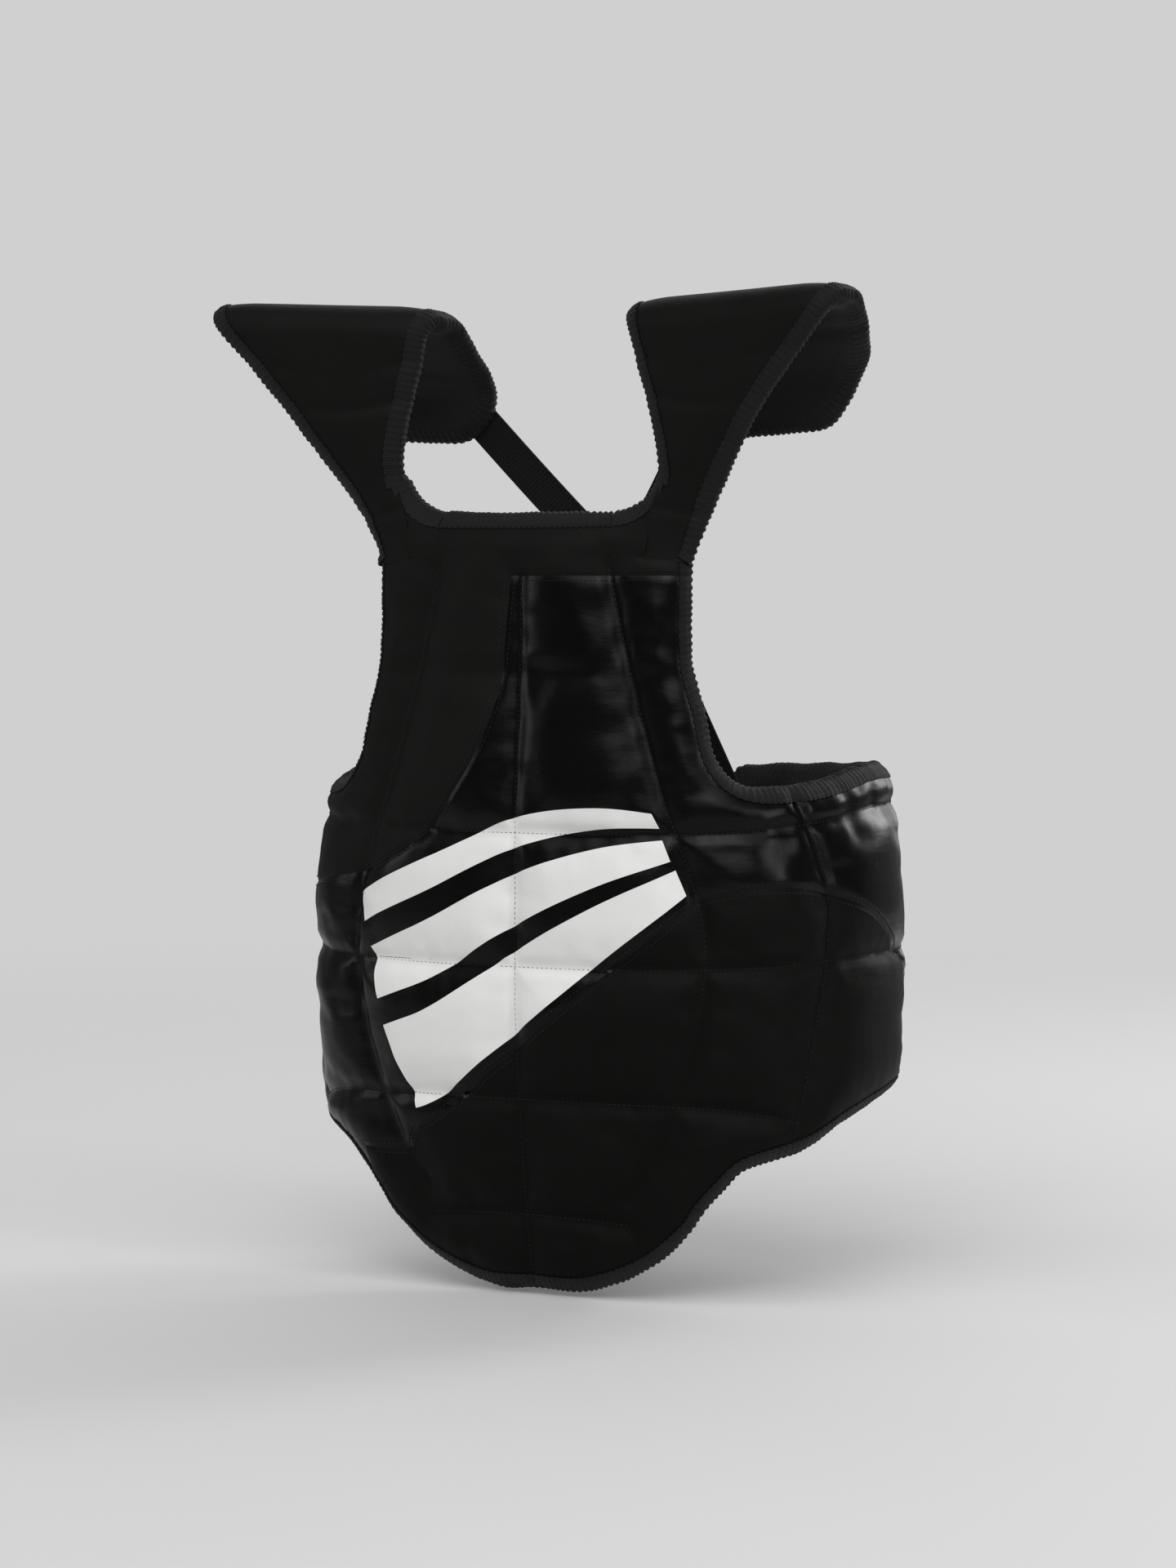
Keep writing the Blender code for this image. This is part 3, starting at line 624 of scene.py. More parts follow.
class Finish:
    """A node material round one Principled shader."""

    def __init__(self, name, **constants):
        self.material = bpy.data.materials.new(name)
        self.material.use_nodes = True
        self.nodes, self.links = self.material.node_tree.nodes, self.material.node_tree.links
        self.shader = self.nodes["Principled BSDF"]
        for socket, value in constants.items():
            self.shader.inputs[socket.replace("_", " ")].default_value = value

    def node(self, kind, settings=None, sockets=None, output=0):
        made = self.nodes.new(kind)
        for key, value in (settings or {}).items():
            setattr(made, key, value)
        for key, value in (sockets or {}).items():
            if isinstance(value, Value):
                self.links.new(value.socket, made.inputs[key])
            else:
                made.inputs[key].default_value = value
        return Value(self, made.outputs[output])

    def place(self, scale=(1, 1, 1)):
        """Object coordinates."""
        where = self.node("ShaderNodeTexCoord", output=3)
        return self.node("ShaderNodeMapping", {}, {"Vector": where, "Scale": scale})

    def pattern(self):
        """The piece's own flat pattern."""
        return self.node("ShaderNodeUVMap", {"uv_map": "pattern"})

    def noise(self, where, scale, detail=3.0, roughness=0.55):
        return self.node("ShaderNodeTexNoise", {}, {"Vector": where, "Scale": scale, "Detail": detail,
                                                    "Roughness": roughness})

    def blend(self, amount, dark, light):
        sockets = {0: amount, 6: (*dark, 1), 7: (*light, 1)}
        return self.node("ShaderNodeMix", {"data_type": "RGBA"}, sockets, output=2)

    def bump(self, height, distance, strength=1.0):
        return self.node("ShaderNodeBump", {}, {"Height": height, "Distance": distance, "Strength": strength})

    def finish(self, **links):
        for socket, value in links.items():
            self.links.new(value.socket, self.shader.inputs[socket.replace("_", " ")])
        return self.material


def vinyl(name, dark, light, rough, specular, grain):
    """Coated fabric: fine leather grain, faint wear and soft creases."""
    f = Finish(name, Specular_IOR_Level=specular)
    where = f.place()
    cells = f.node("ShaderNodeTexVoronoi", {"feature": "DISTANCE_TO_EDGE"}, {"Vector": where, "Scale": 780.0})
    pores = f.noise(where, 1500.0, 2.0)
    broad = f.noise(where, 26.0, 4.0)
    scuffs = f.noise(f.place((1.0, 1.0, 0.35)), 90.0, 6.0, 0.7)
    height = (cells * 3.0) ** 0.6 * 0.5 + pores * 0.3
    creases = f.bump(f.noise(f.place((0.5, 0.5, 1.6)), 55.0, 5.0, 0.6), 0.0006, 0.55)
    grained = f.node("ShaderNodeBump", {}, {"Height": height, "Distance": grain, "Strength": 0.55,
                                            "Normal": creases})
    return f.finish(Base_Color=f.blend(broad, dark, light), Roughness=rough[0] + scuffs * rough[1],
                    Normal=grained)


def woven(name, dark, light, rough, ribs_across, ribs_along, depth, sheen, flat=True):
    """A woven tape, elastic or thread: ribs along the pattern's own directions, or the piece's own axes."""
    f = Finish(name, Specular_IOR_Level=0.25, Sheen_Weight=sheen, Sheen_Roughness=0.5)
    where = f.pattern() if flat else f.place()
    u = f.node("ShaderNodeSeparateXYZ", {}, {0: where})
    v = Value(f, u.socket.node.outputs[1])
    warp = (u * ribs_along).sine()
    weft = (v * ribs_across).sine()
    height = warp * 0.5 + weft * 0.35 + warp * weft * 0.4
    fuzz = f.noise(f.place(), 2600.0, 2.0)
    shade = height * 0.25 + fuzz * 0.5 + 0.25
    return f.finish(Base_Color=f.blend(shade, dark, light), Roughness=rough[0] + fuzz * rough[1],
                    Normal=f.bump(height + fuzz * 0.4, depth, 0.8))


def film():
    """White print laid over grained vinyl, a little worn."""
    f = Finish("white_print_film", Specular_IOR_Level=0.4)
    where = f.place()
    cells = f.node("ShaderNodeTexVoronoi", {"feature": "DISTANCE_TO_EDGE"}, {"Vector": where, "Scale": 780.0})
    wear = f.noise(where, 60.0, 7.0, 0.7)
    return f.finish(Base_Color=f.blend(wear, (0.71, 0.71, 0.70), (0.78, 0.78, 0.77)),
                    Roughness=0.42 + wear * 0.2, Normal=f.bump(cells, 0.00012, 0.4))


def fastener(name, dark, light, scale, depth):
    """Hook-and-loop: tiny dense tufts."""
    f = Finish(name, Specular_IOR_Level=0.2, Sheen_Weight=0.08, Sheen_Roughness=0.4)
    where = f.place()
    tufts = f.node("ShaderNodeTexVoronoi", {}, {"Vector": where, "Scale": scale})
    fuzz = f.noise(where, scale * 2.2, 3.0)
    height = (1 - tufts) + fuzz * 0.5
    return f.finish(Base_Color=f.blend(height * 0.6, dark, light), Roughness=0.75 + fuzz * 0.2,
                    Normal=f.bump(height, depth, 1.0))


CHARCOAL = vinyl("charcoal_vinyl_grained", (0.0023, 0.0023, 0.0020), (0.0040, 0.0040, 0.0035), (0.50, 0.16),
                 0.11, 0.00022)
# Painted shade: the belly panel gets a darker copy of the same charcoal vinyl, standing in for the shade on
# the lower front, not a different cloth.
BELLY_PAINTED_SHADE = vinyl("charcoal_vinyl_belly_painted_shade", (0.0012, 0.0012, 0.0010), (0.0023, 0.0023, 0.0019), (0.48, 0.16),
              0.09, 0.00022)
GLOSS = vinyl("gloss_vinyl_coated", (0.0004, 0.0004, 0.0003), (0.0010, 0.0010, 0.0008), (0.20, 0.12),
              0.15, 0.00008)
TAPE = woven("edge_tape_woven", (0.0008, 0.0008, 0.0007), (0.0034, 0.0034, 0.0032), (0.60, 0.25),
             5200.0, 3600.0, 0.00022, 0.04)
ELASTIC = woven("ribbed_elastic", (0.0009, 0.0009, 0.0009), (0.0040, 0.0040, 0.0040), (0.66, 0.25),
                3140.0, 2400.0, 0.00030, 0.03)
NYLON = woven("lining_nylon", (0.0028, 0.0028, 0.0025), (0.0062, 0.0062, 0.0056), (0.50, 0.22),
              4200.0, 4200.0, 0.00010, 0.03)
FOAM = vinyl("foam_sheet", (0.030, 0.030, 0.030), (0.045, 0.045, 0.045), (0.85, 0.1), 0.2, 0.0003)
PRINT_FILM = film()
LOOPS = fastener("fastener_loops", (0.0016, 0.0016, 0.0016), (0.0070, 0.0070, 0.0070), 900.0, 0.0005)
HOOKS = fastener("fastener_hooks", (0.0022, 0.0022, 0.0022), (0.0090, 0.0090, 0.0090), 620.0, 0.0007)
THREAD = woven("sewing_thread", (0.003, 0.003, 0.0028), (0.009, 0.009, 0.0085), (0.45, 0.2),
               9000.0, 9000.0, 0.00008, 0.02, flat=False)


# ---- cloth simulation of the covers ----------------------------------------------------------
def inflated(surface, outline, pins, cell, cap, pressure):
    """How far pressure lifts a slightly loose cover off its pattern, as a function of flat points."""
    low, high = outline.min(0) - cell, outline.max(0) + cell
    count = np.ceil((high - low) / cell).astype(int) + 1
    lattice = np.stack(np.indices(count), -1).reshape(-1, 2)
    flat = low + lattice * cell
    within = inside(outline, flat)
    places = surface(flat, np.zeros(len(flat)))
    nudge = 0.0004
    normals = unit(surface(flat, np.full(len(flat), -nudge)) - places)
    number = np.full(len(flat), -1)
    number[within] = np.arange(within.sum())
    table = number.reshape(count)
    quads = np.stack([table[:-1, :-1], table[1:, :-1], table[1:, 1:], table[:-1, 1:]], -1).reshape(-1, 4)
    quads = quads[(quads >= 0).all(1)]
    mesh = bpy.data.meshes.new("loose_cover")
    mesh.from_pydata(places[within].tolist(), [], quads.tolist())
    cover = bpy.data.objects.new("loose_cover", mesh)
    bpy.context.scene.collection.objects.link(cover)
    held = distance_to(pins, flat[within])
    rim = distance_to([np.vstack([outline, outline[:1]])], flat[within])
    group = cover.vertex_groups.new(name="sewn")
    group.add([int(i) for i in np.nonzero((held < cell * 0.62) | (rim < cell * 1.3))[0]], 1.0, "REPLACE")
    cloth = cover.modifiers.new("puff", "CLOTH")
    settings = cloth.settings
    settings.quality = 6
    settings.mass = 0.25
    settings.tension_stiffness = settings.compression_stiffness = 18
    settings.shear_stiffness = 8
    settings.bending_stiffness = 0.35
    settings.shrink_min = -0.022
    settings.use_pressure = True
    settings.uniform_pressure_force = pressure
    settings.vertex_group_mass = "sewn"
    settings.effector_weights.gravity = 0.0
    cloth.collision_settings.use_collision = False
    cloth.point_cache.frame_start, cloth.point_cache.frame_end = 1, 20
    scene = bpy.context.scene
    for frame_number in range(1, 21):
        scene.frame_set(frame_number)
    settled = cover.evaluated_get(bpy.context.evaluated_depsgraph_get()).to_mesh()
    moved = np.empty(len(settled.vertices) * 3)
    settled.vertices.foreach_get("co", moved)
    moved = moved.reshape(-1, 3) - places[within]
    scene.frame_set(1)
    bpy.data.objects.remove(cover)
    bpy.data.meshes.remove(mesh)
    lift = np.zeros(len(flat))
    along_normal = (moved * normals[within]).sum(1)
    lift[within] = cap * np.tanh(along_normal / cap)
    lift = lift.reshape(count)
    lift[1:-1, 1:-1] = (lift[1:-1, 1:-1] * 2 + lift[:-2, 1:-1] + lift[2:, 1:-1]
                        + lift[1:-1, :-2] + lift[1:-1, 2:]) / 6

    def sample(points):
        u = np.clip((points - low) / cell, 0, count - 1.001)
        i = u.astype(int)
        f = u - i
        a = lift[i[:, 0], i[:, 1]] * (1 - f[:, 0]) + lift[i[:, 0] + 1, i[:, 1]] * f[:, 0]
        b = lift[i[:, 0], i[:, 1] + 1] * (1 - f[:, 0]) + lift[i[:, 0] + 1, i[:, 1] + 1] * f[:, 0]
        return a * (1 - f[:, 1]) + b * f[:, 1]

    return sample


BODY_OUTLINE = join(NECK, NECK_STEP, FLAP_SEAM, RIGHT_EDGE, LEFT_EDGE, mirrored(FLAP_SEAM),
                    mirrored(NECK_STEP))
PUFF = inflated(vest, BODY_OUTLINE, QUILTING, 0.0065, 0.0042, 4.0)


# ---- the padded front and wings --------------------------------------------------------------
SIDES = {"right": 1, "left": -1}
FLAPS = {"right": flap, "left": left_flap}
CORNERS = {"right": corner, "left": left_corner}
HINGE_OUT = vest(np.array([[HINGE_S, 0.0]]), np.array([0.004]))[0]
FOLD_END = vest(np.array([[HINGE_S + 0.055, 0.0]]), np.array([0.011]))[0]


def fold_on_wing(piece, side):
    """Bakes the piece's placement into its mesh and works out the ends of the side fold, but does not fold
    the piece over the wing.
    """
    s = SIDES[side]
    start, end = (s * HINGE_OUT[0], HINGE_OUT[1], 0.0), (s * FOLD_END[0], FOLD_END[1], 0.0)
    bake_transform(piece)
    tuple(start)
    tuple(end)


def fold_on_flap(piece, side):
    """Bakes the piece's placement into its mesh; the piece is not turned over the flap's neck."""
    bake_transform(piece)


cover_under = deeper(cover_inset, COVER_THICK)
arm_cut = int(np.abs(ARMHOLE[:, 1] - SASH_TOP_Z).argmin())
SASH_UPPER[-1] = ARMHOLE[arm_cut]
SEAM_R_END, SEAM_L_END = RIGHT_SEAM[-1], LEFT_SEAM[-1]


def insert_on(line, point):
    """Index of the line's point nearest to point, which is moved onto it."""
    i = int(np.linalg.norm(line - point, axis=1).argmin())
    line[i] = point
    return i


tip_r = insert_on(RIGHT_EDGE, SEAM_R_END)
tip_l = insert_on(LEFT_EDGE, SEAM_L_END)
hinge_low_l = insert_on(LEFT_EDGE, np.array([-HINGE_S, -0.176]))
start_right = insert_on(RIGHT_EDGE, ARMHOLE[arm_cut])
matte_outline = join(NECK, NECK_STEP, FLAP_SEAM, RIGHT_EDGE[:start_right + 1], SASH_UPPER[::-1], LEFT_SEAM,
                     LEFT_EDGE[tip_l:], mirrored(FLAP_SEAM), mirrored(NECK_STEP))
gloss_outline = join(SASH_UPPER, RIGHT_EDGE[start_right:tip_r + 1], RIGHT_SEAM[::-1], SASH_LOWER[::-1],
                     even_steps([(-HINGE_S, SASH_FOOT_Z), (-HINGE_S, SASH_HIGH_Z)]))
left_side = even_steps([(-HINGE_S, SASH_HIGH_Z), (-HINGE_S, SASH_FOOT_Z)])
hinge_side = even_steps([(-HINGE_S, HINGE_FOOT_Z), (-HINGE_S, SASH_FOOT_Z)])
belly_outline = join(SASH_LOWER, RIGHT_SEAM, RIGHT_EDGE[tip_r:], LEFT_EDGE[:hinge_low_l + 1], hinge_side)
left_gloss_outline = join(LEFT_EDGE[hinge_low_l:tip_l + 1], LEFT_SEAM[::-1], left_side, hinge_side[::-1])

for name, outline, finish, side, slot, nodes in (
        ("chest_panel", matte_outline, CHARCOAL, "left", "charcoal_vinyl",
         ("chest_panel", "left_wing_upper_panel")),
        ("gloss_sash", gloss_outline, GLOSS, "right", "gloss_vinyl",
         ("gloss_sash", "right_wing_upper_panel")),
        # the belly panel wears the darker charcoal copy, which is painted shade
        ("belly_panel", belly_outline, BELLY_PAINTED_SHADE, "right", "charcoal_vinyl",
         ("belly_panel", "right_wing_lower_panel")),
        ("left_wing_gloss_panel", left_gloss_outline, GLOSS, "left", "gloss_vinyl",
         ("left_wing_lower_panel",))):
    piece = shell(name, outline, vest, cover_inset, cover_under, finish)
    fold_on_wing(piece, side)
    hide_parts(*nodes)

hinge_top = insert_on(RIGHT_EDGE, np.array([HINGE_S, 0.172]))
hinge_foot = insert_on(RIGHT_EDGE, np.array([HINGE_S, -0.176]))
hinge_line = even_steps([(HINGE_S, HINGE_FOOT_Z), (HINGE_S, HINGE_TOP_Z)])
front_half = join(NECK_STEP, FLAP_SEAM, RIGHT_EDGE[:hinge_top + 1], hinge_line[::-1], RIGHT_EDGE[hinge_foot:])
front_outline = join(NECK, front_half, mirrored(front_half))
wing_outline = join(RIGHT_EDGE[hinge_top:hinge_foot + 1], hinge_line)


core_top, core_low = deeper(cover_inset, COVER_THICK + 0.0002), deeper(lining_inset, -0.0008)
lining_back = deeper(lining_inset, 0.0009)
for name, near, far, finish, step, nodes in (
        ("foam", core_top, core_low, FOAM, 0.006, ("chest_foam", "belly_foam", "apron_foam")),
        ("lining", lining_inset, lining_back, NYLON, 0.0045, ("front_lining",))):
    piece = shell(f"front_{name}", front_outline, vest, near, far, finish, step)
    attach(piece, "root")
    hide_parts(*nodes)

FLAP_LAP = 0.0058           # how far a flap's foot laps over the chest
skirt = FLAP_FOOT[1:-1] - (0, FLAP_LAP)
flap_outline = join(FLAP_EDGE, FLAP_EDGE[-1:] - (0, FLAP_LAP), skirt, FLAP_EDGE[:1] - (0, FLAP_LAP),
                    FLAP_EDGE[:1])
flap_core_outline = join(FLAP_EDGE, FLAP_FOOT)


flap_cover_under = deeper(flap_cover_inset, COVER_THICK)
flap_core_top = deeper(flap_cover_inset, COVER_THICK + 0.0002)
flap_core_low = deeper(flap_lining_inset, -0.0008)
flap_lining_back = deeper(flap_lining_inset, 0.0009)
for side, sign in SIDES.items():
    outline = wing_outline * (sign, 1)
    for name, near, far, finish, step in (("foam", core_top, core_low, FOAM, 0.006),
                                          ("lining", lining_inset, lining_back, NYLON, 0.0045)):
        piece = shell(f"{side}_wing_{name}", outline, vest, near, far, finish, step)
        fold_on_wing(piece, side)
        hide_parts(f"{side}_wing_{name}")
    for name, near, far, finish, step, slot in (
            ("cover", flap_cover_inset, flap_cover_under, CHARCOAL, 0.0028, "charcoal_vinyl"),
            ("foam", flap_core_top, flap_core_low, FOAM, 0.005, "foam"),
            ("lining", flap_lining_inset, flap_lining_back, NYLON, 0.0030, "lining")):
        outline = flap_outline if name == "cover" else flap_core_outline
        piece = shell(f"{side}_flap_{name}", outline, FLAPS[side], near, far, finish, step)
        fold_on_flap(piece, side)
        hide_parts(f"{side}_flap_{name}")

gusset_side = [(float(along(FLAP_INNER, s)) + 0.0015, FLAP_BASE_Z + s / FLAP_DRAWN * FLAP_LENGTH)
               for s in (0.050, 0.040, 0.030, 0.020, 0.010, 0.0)]
gusset_outline = join(NECK_CORNER, even_steps(front(*gusset_side) + front((0.091, SEAM_Z))),
                      even_steps(front((0.091, SEAM_Z), (GUSSET_X, SEAM_Z), (GUSSET_X, NECKLINE_Z))))


def turn_on_corner(piece, side):
    """Bakes the piece's placement into its mesh; the turn from the front into the flap comes from the corner
    surface the piece was built on.
    """
    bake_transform(piece)


for side in SIDES:
    piece = shell(f"{side}_neck_gusset", gusset_outline, CORNERS[side], cover_inset, lining_inset, CHARCOAL)
    turn_on_corner(piece, side)


# ---- edge tape -------------------------------------------------------------------------------
def bind(name, path, pad_side, surface, near, far, nodes):
    """Edge tape that stands for its CAD tape."""
    piece = tape(name, path, pad_side, surface, near, far, TAPE)
    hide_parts(*nodes)
    return piece


piece = bind("neckline_tape", NECK, 1, vest, cover_inset, lining_inset, ["neckline_binding"])
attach(piece, "root")
apron_half = RIGHT_EDGE[hinge_foot:]
piece = bind("apron_tape", join(apron_half, mirrored(apron_half)), 1, vest, cover_inset, lining_inset,
             ["apron_binding"])
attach(piece, "root")
for side, sign in SIDES.items():
    path = RIGHT_EDGE[:hinge_top + 1] * (sign, 1)
    piece = bind(f"{side}_armhole_tape", path, sign, vest, cover_inset, lining_inset,
                 [f"{side}_armhole_binding"])
    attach(piece, "root")
    path = RIGHT_EDGE[hinge_top:hinge_foot + 1] * (sign, 1)
    piece = bind(f"{side}_wing_tape", path, sign, vest, cover_inset, lining_inset, [f"{side}_wing_binding"])
    fold_on_wing(piece, side)
    piece = bind(f"{side}_flap_tape", FLAP_TAPED, 1, FLAPS[side], flap_cover_inset, flap_lining_inset,
                 [f"{side}_flap_binding"])
    fold_on_flap(piece, side)
    piece = tape(f"{side}_neck_corner_tape", NECK_CORNER[:-1], 1, CORNERS[side], cover_inset,
                 lining_inset, TAPE)
    turn_on_corner(piece, side)

# ---- print -----------------------------------------------------------------------------------
PRINT_FOOT = [(-0.127, -0.128), (-0.085, -0.1165), (-0.065, -0.1090), (0, -0.0595), (0.065, -0.0060),
              (0.1215, 0.0390)]
PRINT_HEAD = [(-0.127, 0.030), (-0.06, 0.060), (0, 0.086), (0.06, 0.094), (0.1215, 0.088)]
PRINT_CUT = [(-0.127, 0.045), (-0.1205, 0.016), (-0.100, -0.058), (-0.0790, -0.1185)]
print_xs = np.linspace(-0.127, 0.1205, 160)
print_s = np.interp(np.abs(print_xs), CHEST_XS, CHEST_GIRTHS) * np.sign(print_xs)
print_foot = np.interp(print_xs, *curve_through(PRINT_FOOT, 0.002).T)
print_height = np.interp(print_xs, *curve_through(PRINT_HEAD, 0.002).T) - print_foot
print_cut = np.where(print_xs < -0.079, np.interp(print_xs, *np.array(PRINT_CUT).T), -1.0)
print_face, print_under = deeper(cover_inset, -0.00035), deeper(cover_inset, 0.0001)

for name, low, high in (("wide", 0.0, 0.38), ("middle", 0.50, 0.74), ("narrow", 0.86, 1.0)):
    borders = []
    for share in (low, high):
        level = print_foot + print_height * share
        kept = (level > print_cut) & (print_xs < 0.1205 - 0.36 * np.maximum(level - 0.034, 0))
        borders.append(np.column_stack([print_s, level])[kept])
    foot, head = borders
    around = (foot, [foot[-1], head[-1]], head[::-1], [head[0], foot[0]])
    outline = join(*[even_steps(run, 0.0028) for run in around])
    piece = shell(f"print_{name}_stripe", outline, vest, print_face, print_under, PRINT_FILM, 0.0026)
    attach(piece, "root")
    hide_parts(f"print_{name}_stripe")

# ---- elastics behind the shoulders -------------------------------------------------------------
CROSSING = Vector((0, 0.012, 0.254))
CROSSING_UP = Vector((0, -0.40, 0.9165)).normalized()
STRAP_WIDTH, STRAP_THICK, STRAP_POINTS = 0.026, 0.0018, 70
PATCH_OUTLINE = [(0.0121, 0.0318), (0.0306, 0.0146), (0.0270, -0.0455), (0.0027, -0.0529)]


def strap_end(x, up):
    return CROSSING + Vector((x, 0, 0)) + CROSSING_UP * up


for side, sign in SIDES.items():
    flap_end = Vector((sign * 0.0805, -0.032, 0.350))
    wing_end = Vector((sign * 0.060, 0.0880, 0.062))
    for name, a, b, tuck_a, tuck_b in (
            ("upper", flap_end, strap_end(sign * 0.0222, 0.0238), 0.010, 0.008),
            ("lower", strap_end(sign * 0.0154, -0.0508), wing_end, 0.008, 0.018)):
        run = (b - a).normalized()
        first, last = a - run * tuck_a, b + run * tuck_b
        sag = Vector((0, 0.0015, -0.0015))
        centres = [first.lerp(last, t) + sag * sin(pi * i / (STRAP_POINTS - 1))
                   for i, t in enumerate(np.linspace(0, 1, STRAP_POINTS))]
        piece = webbing(f"{side}_{name}_strap", centres, [(0, -1, 0)] * STRAP_POINTS, STRAP_WIDTH,
                        STRAP_THICK, ELASTIC)
        if name == "upper":
            tuple(b)
            tuple(a)
            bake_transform(piece)
        else:
            tuple(a)
            tuple(b)
            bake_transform(piece)
        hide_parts(f"{side}_{name}_strap")


def patch_surface(points, inset):
    """Places on the flat patch behind the shoulders where the elastics meet."""
    up = np.array(CROSSING_UP)
    normal = np.cross((1, 0, 0), up) * np.reshape(-inset, (-1, 1))
    return np.array(CROSSING) + points[:, :1] * (1, 0, 0) + points[:, 1:] * up + normal


patch_line = PATCH_OUTLINE + [(-x, y) for x, y in PATCH_OUTLINE[::-1]]
patch_line = soften(even_steps(patch_line + patch_line[:1], 0.0014), 6)


def patch_front(points):
    gap = distance_to([patch_line], points)
    return -0.0022 + 0.0010 * rounding(gap, 0.004) + 0.0005 * np.exp(-((gap - 0.0045) / 0.0010) ** 2)


def patch_back(points):
    return -patch_front(points)


piece = shell("strap_crossing_patch", patch_line, patch_surface, patch_front, patch_back, TAPE, 0.0016)
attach(piece, "root")
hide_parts("strap_crossing_patch")

# ---- waist belt and its closure ------------------------------------------------------------------
BELT_LOW, BELT_HIGH, BELT_DEPTH, HOOK_DEPTH, BELT_GAP = -0.055, 0.020, 0.0022, 0.0014, 0.0006
CLEAR = 2 * HOOK_DEPTH + 3 * BELT_GAP
BELT_FROM, BELT_TO = 142, 218           # degrees round from the middle of the front
BELT_STATIONS, BELT_RIBS = 150, 27
PER_DEGREE = 400            # degrees to a unit of the flat patterns below
belt_middle = (BELT_LOW + BELT_HIGH) / 2


def belt_surface(points, inset):
    """Places over the rear of the wings for flat points (degrees, height)."""
    return section(np.radians(points[:, 0]), points[:, 1], inset)


def belt_lift(degrees):
    return np.interp(degrees, (WING_END - 3, WING_END, 360 - WING_END, 360 - WING_END + 4, 205),
                     (CLEAR, CLEAR, 3 * BELT_GAP + 0.0032, 3 * BELT_GAP + 0.0028, BELT_GAP + 0.0024))


belt_points, belt_uvs = [], []
rise = np.linspace(-1, 1, BELT_RIBS)
z = belt_middle + rise * (BELT_HIGH - BELT_LOW) / 2
edge = 1 - np.abs(rise)
rib = 0.00022 * np.cos(rise * 13 * pi) * (edge > 0.03)
bead = 0.0003 * np.exp(-(edge / 0.05) ** 2)
for outer in (True, False):
    for d in np.linspace(BELT_FROM, BELT_TO, BELT_STATIONS):
        inset = np.full(BELT_RIBS, -belt_lift(d))
        if outer:
            inset = inset - BELT_DEPTH * (0.9 + 0.1 * smooth(edge / 0.04)) - rib - bead
        belt_points.append(section(np.full(BELT_RIBS, radians(d)), z, inset))
        belt_uvs.append(np.column_stack([np.full(BELT_RIBS, radians(d) * 0.15), z]))
numbers = np.arange(2 * BELT_STATIONS * BELT_RIBS).reshape(2, BELT_STATIONS, BELT_RIBS)
faces = np.stack([numbers[:, :-1, :-1], numbers[:, :-1, 1:], numbers[:, 1:, 1:], numbers[:, 1:, :-1]], -1)
faces = [tuple(face) for face in faces.reshape(-1, 4)]
outside, under = [[*layer[:, 0], *layer[-1, 1:], *layer[-2::-1, -1], *layer[0, -2:0:-1]] for layer in numbers]
faces += [(outside[i - 1], outside[i], under[i], under[i - 1]) for i in [*range(1, len(outside)), 0]]
piece = make("waist_belt", np.vstack(belt_points), faces, ELASTIC, np.vstack(belt_uvs))
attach(piece, "back_belt")
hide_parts("waist_belt")


def closure(name, low, high, depth, body, finish):
    """A hook-and-loop patch between two angles, under the belt."""
    corners = [(low, belt_middle, 0), (low, BELT_LOW + 0.006, 1.6), (high, BELT_LOW + 0.006, 1.6),
               (high, BELT_HIGH - 0.006, 1.6), (low, BELT_HIGH - 0.006, 1.6), (low, belt_middle, 0)]
    flat_corners = [(a / PER_DEGREE, b, r / PER_DEGREE) for a, b, r in corners]
    line = even_steps(rounded_path(flat_corners, 0.002), 0.0022)

    def surface(points, inset):
        return belt_surface(points * (PER_DEGREE, 1), inset)

    def face(points):
        tufts = np.array([noise.noise((s * 900, z * 900, 1.7)) for s, z in points])
        return -depth - HOOK_DEPTH + 0.0006 * rounding(distance_to([line], points), 0.002) - 0.00025 * tufts

    def under(points):
        return np.full(len(points), -depth)

    made = shell(name, line, surface, face, under, finish, 0.0016)
    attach(made, body)
    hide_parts(name)


closure("closure_loop_patch", 130, 167, BELT_GAP, "right_wing", LOOPS)
closure("closure_hook_patch", 142, 167, 2 * BELT_GAP + HOOK_DEPTH, "back_belt", HOOKS)


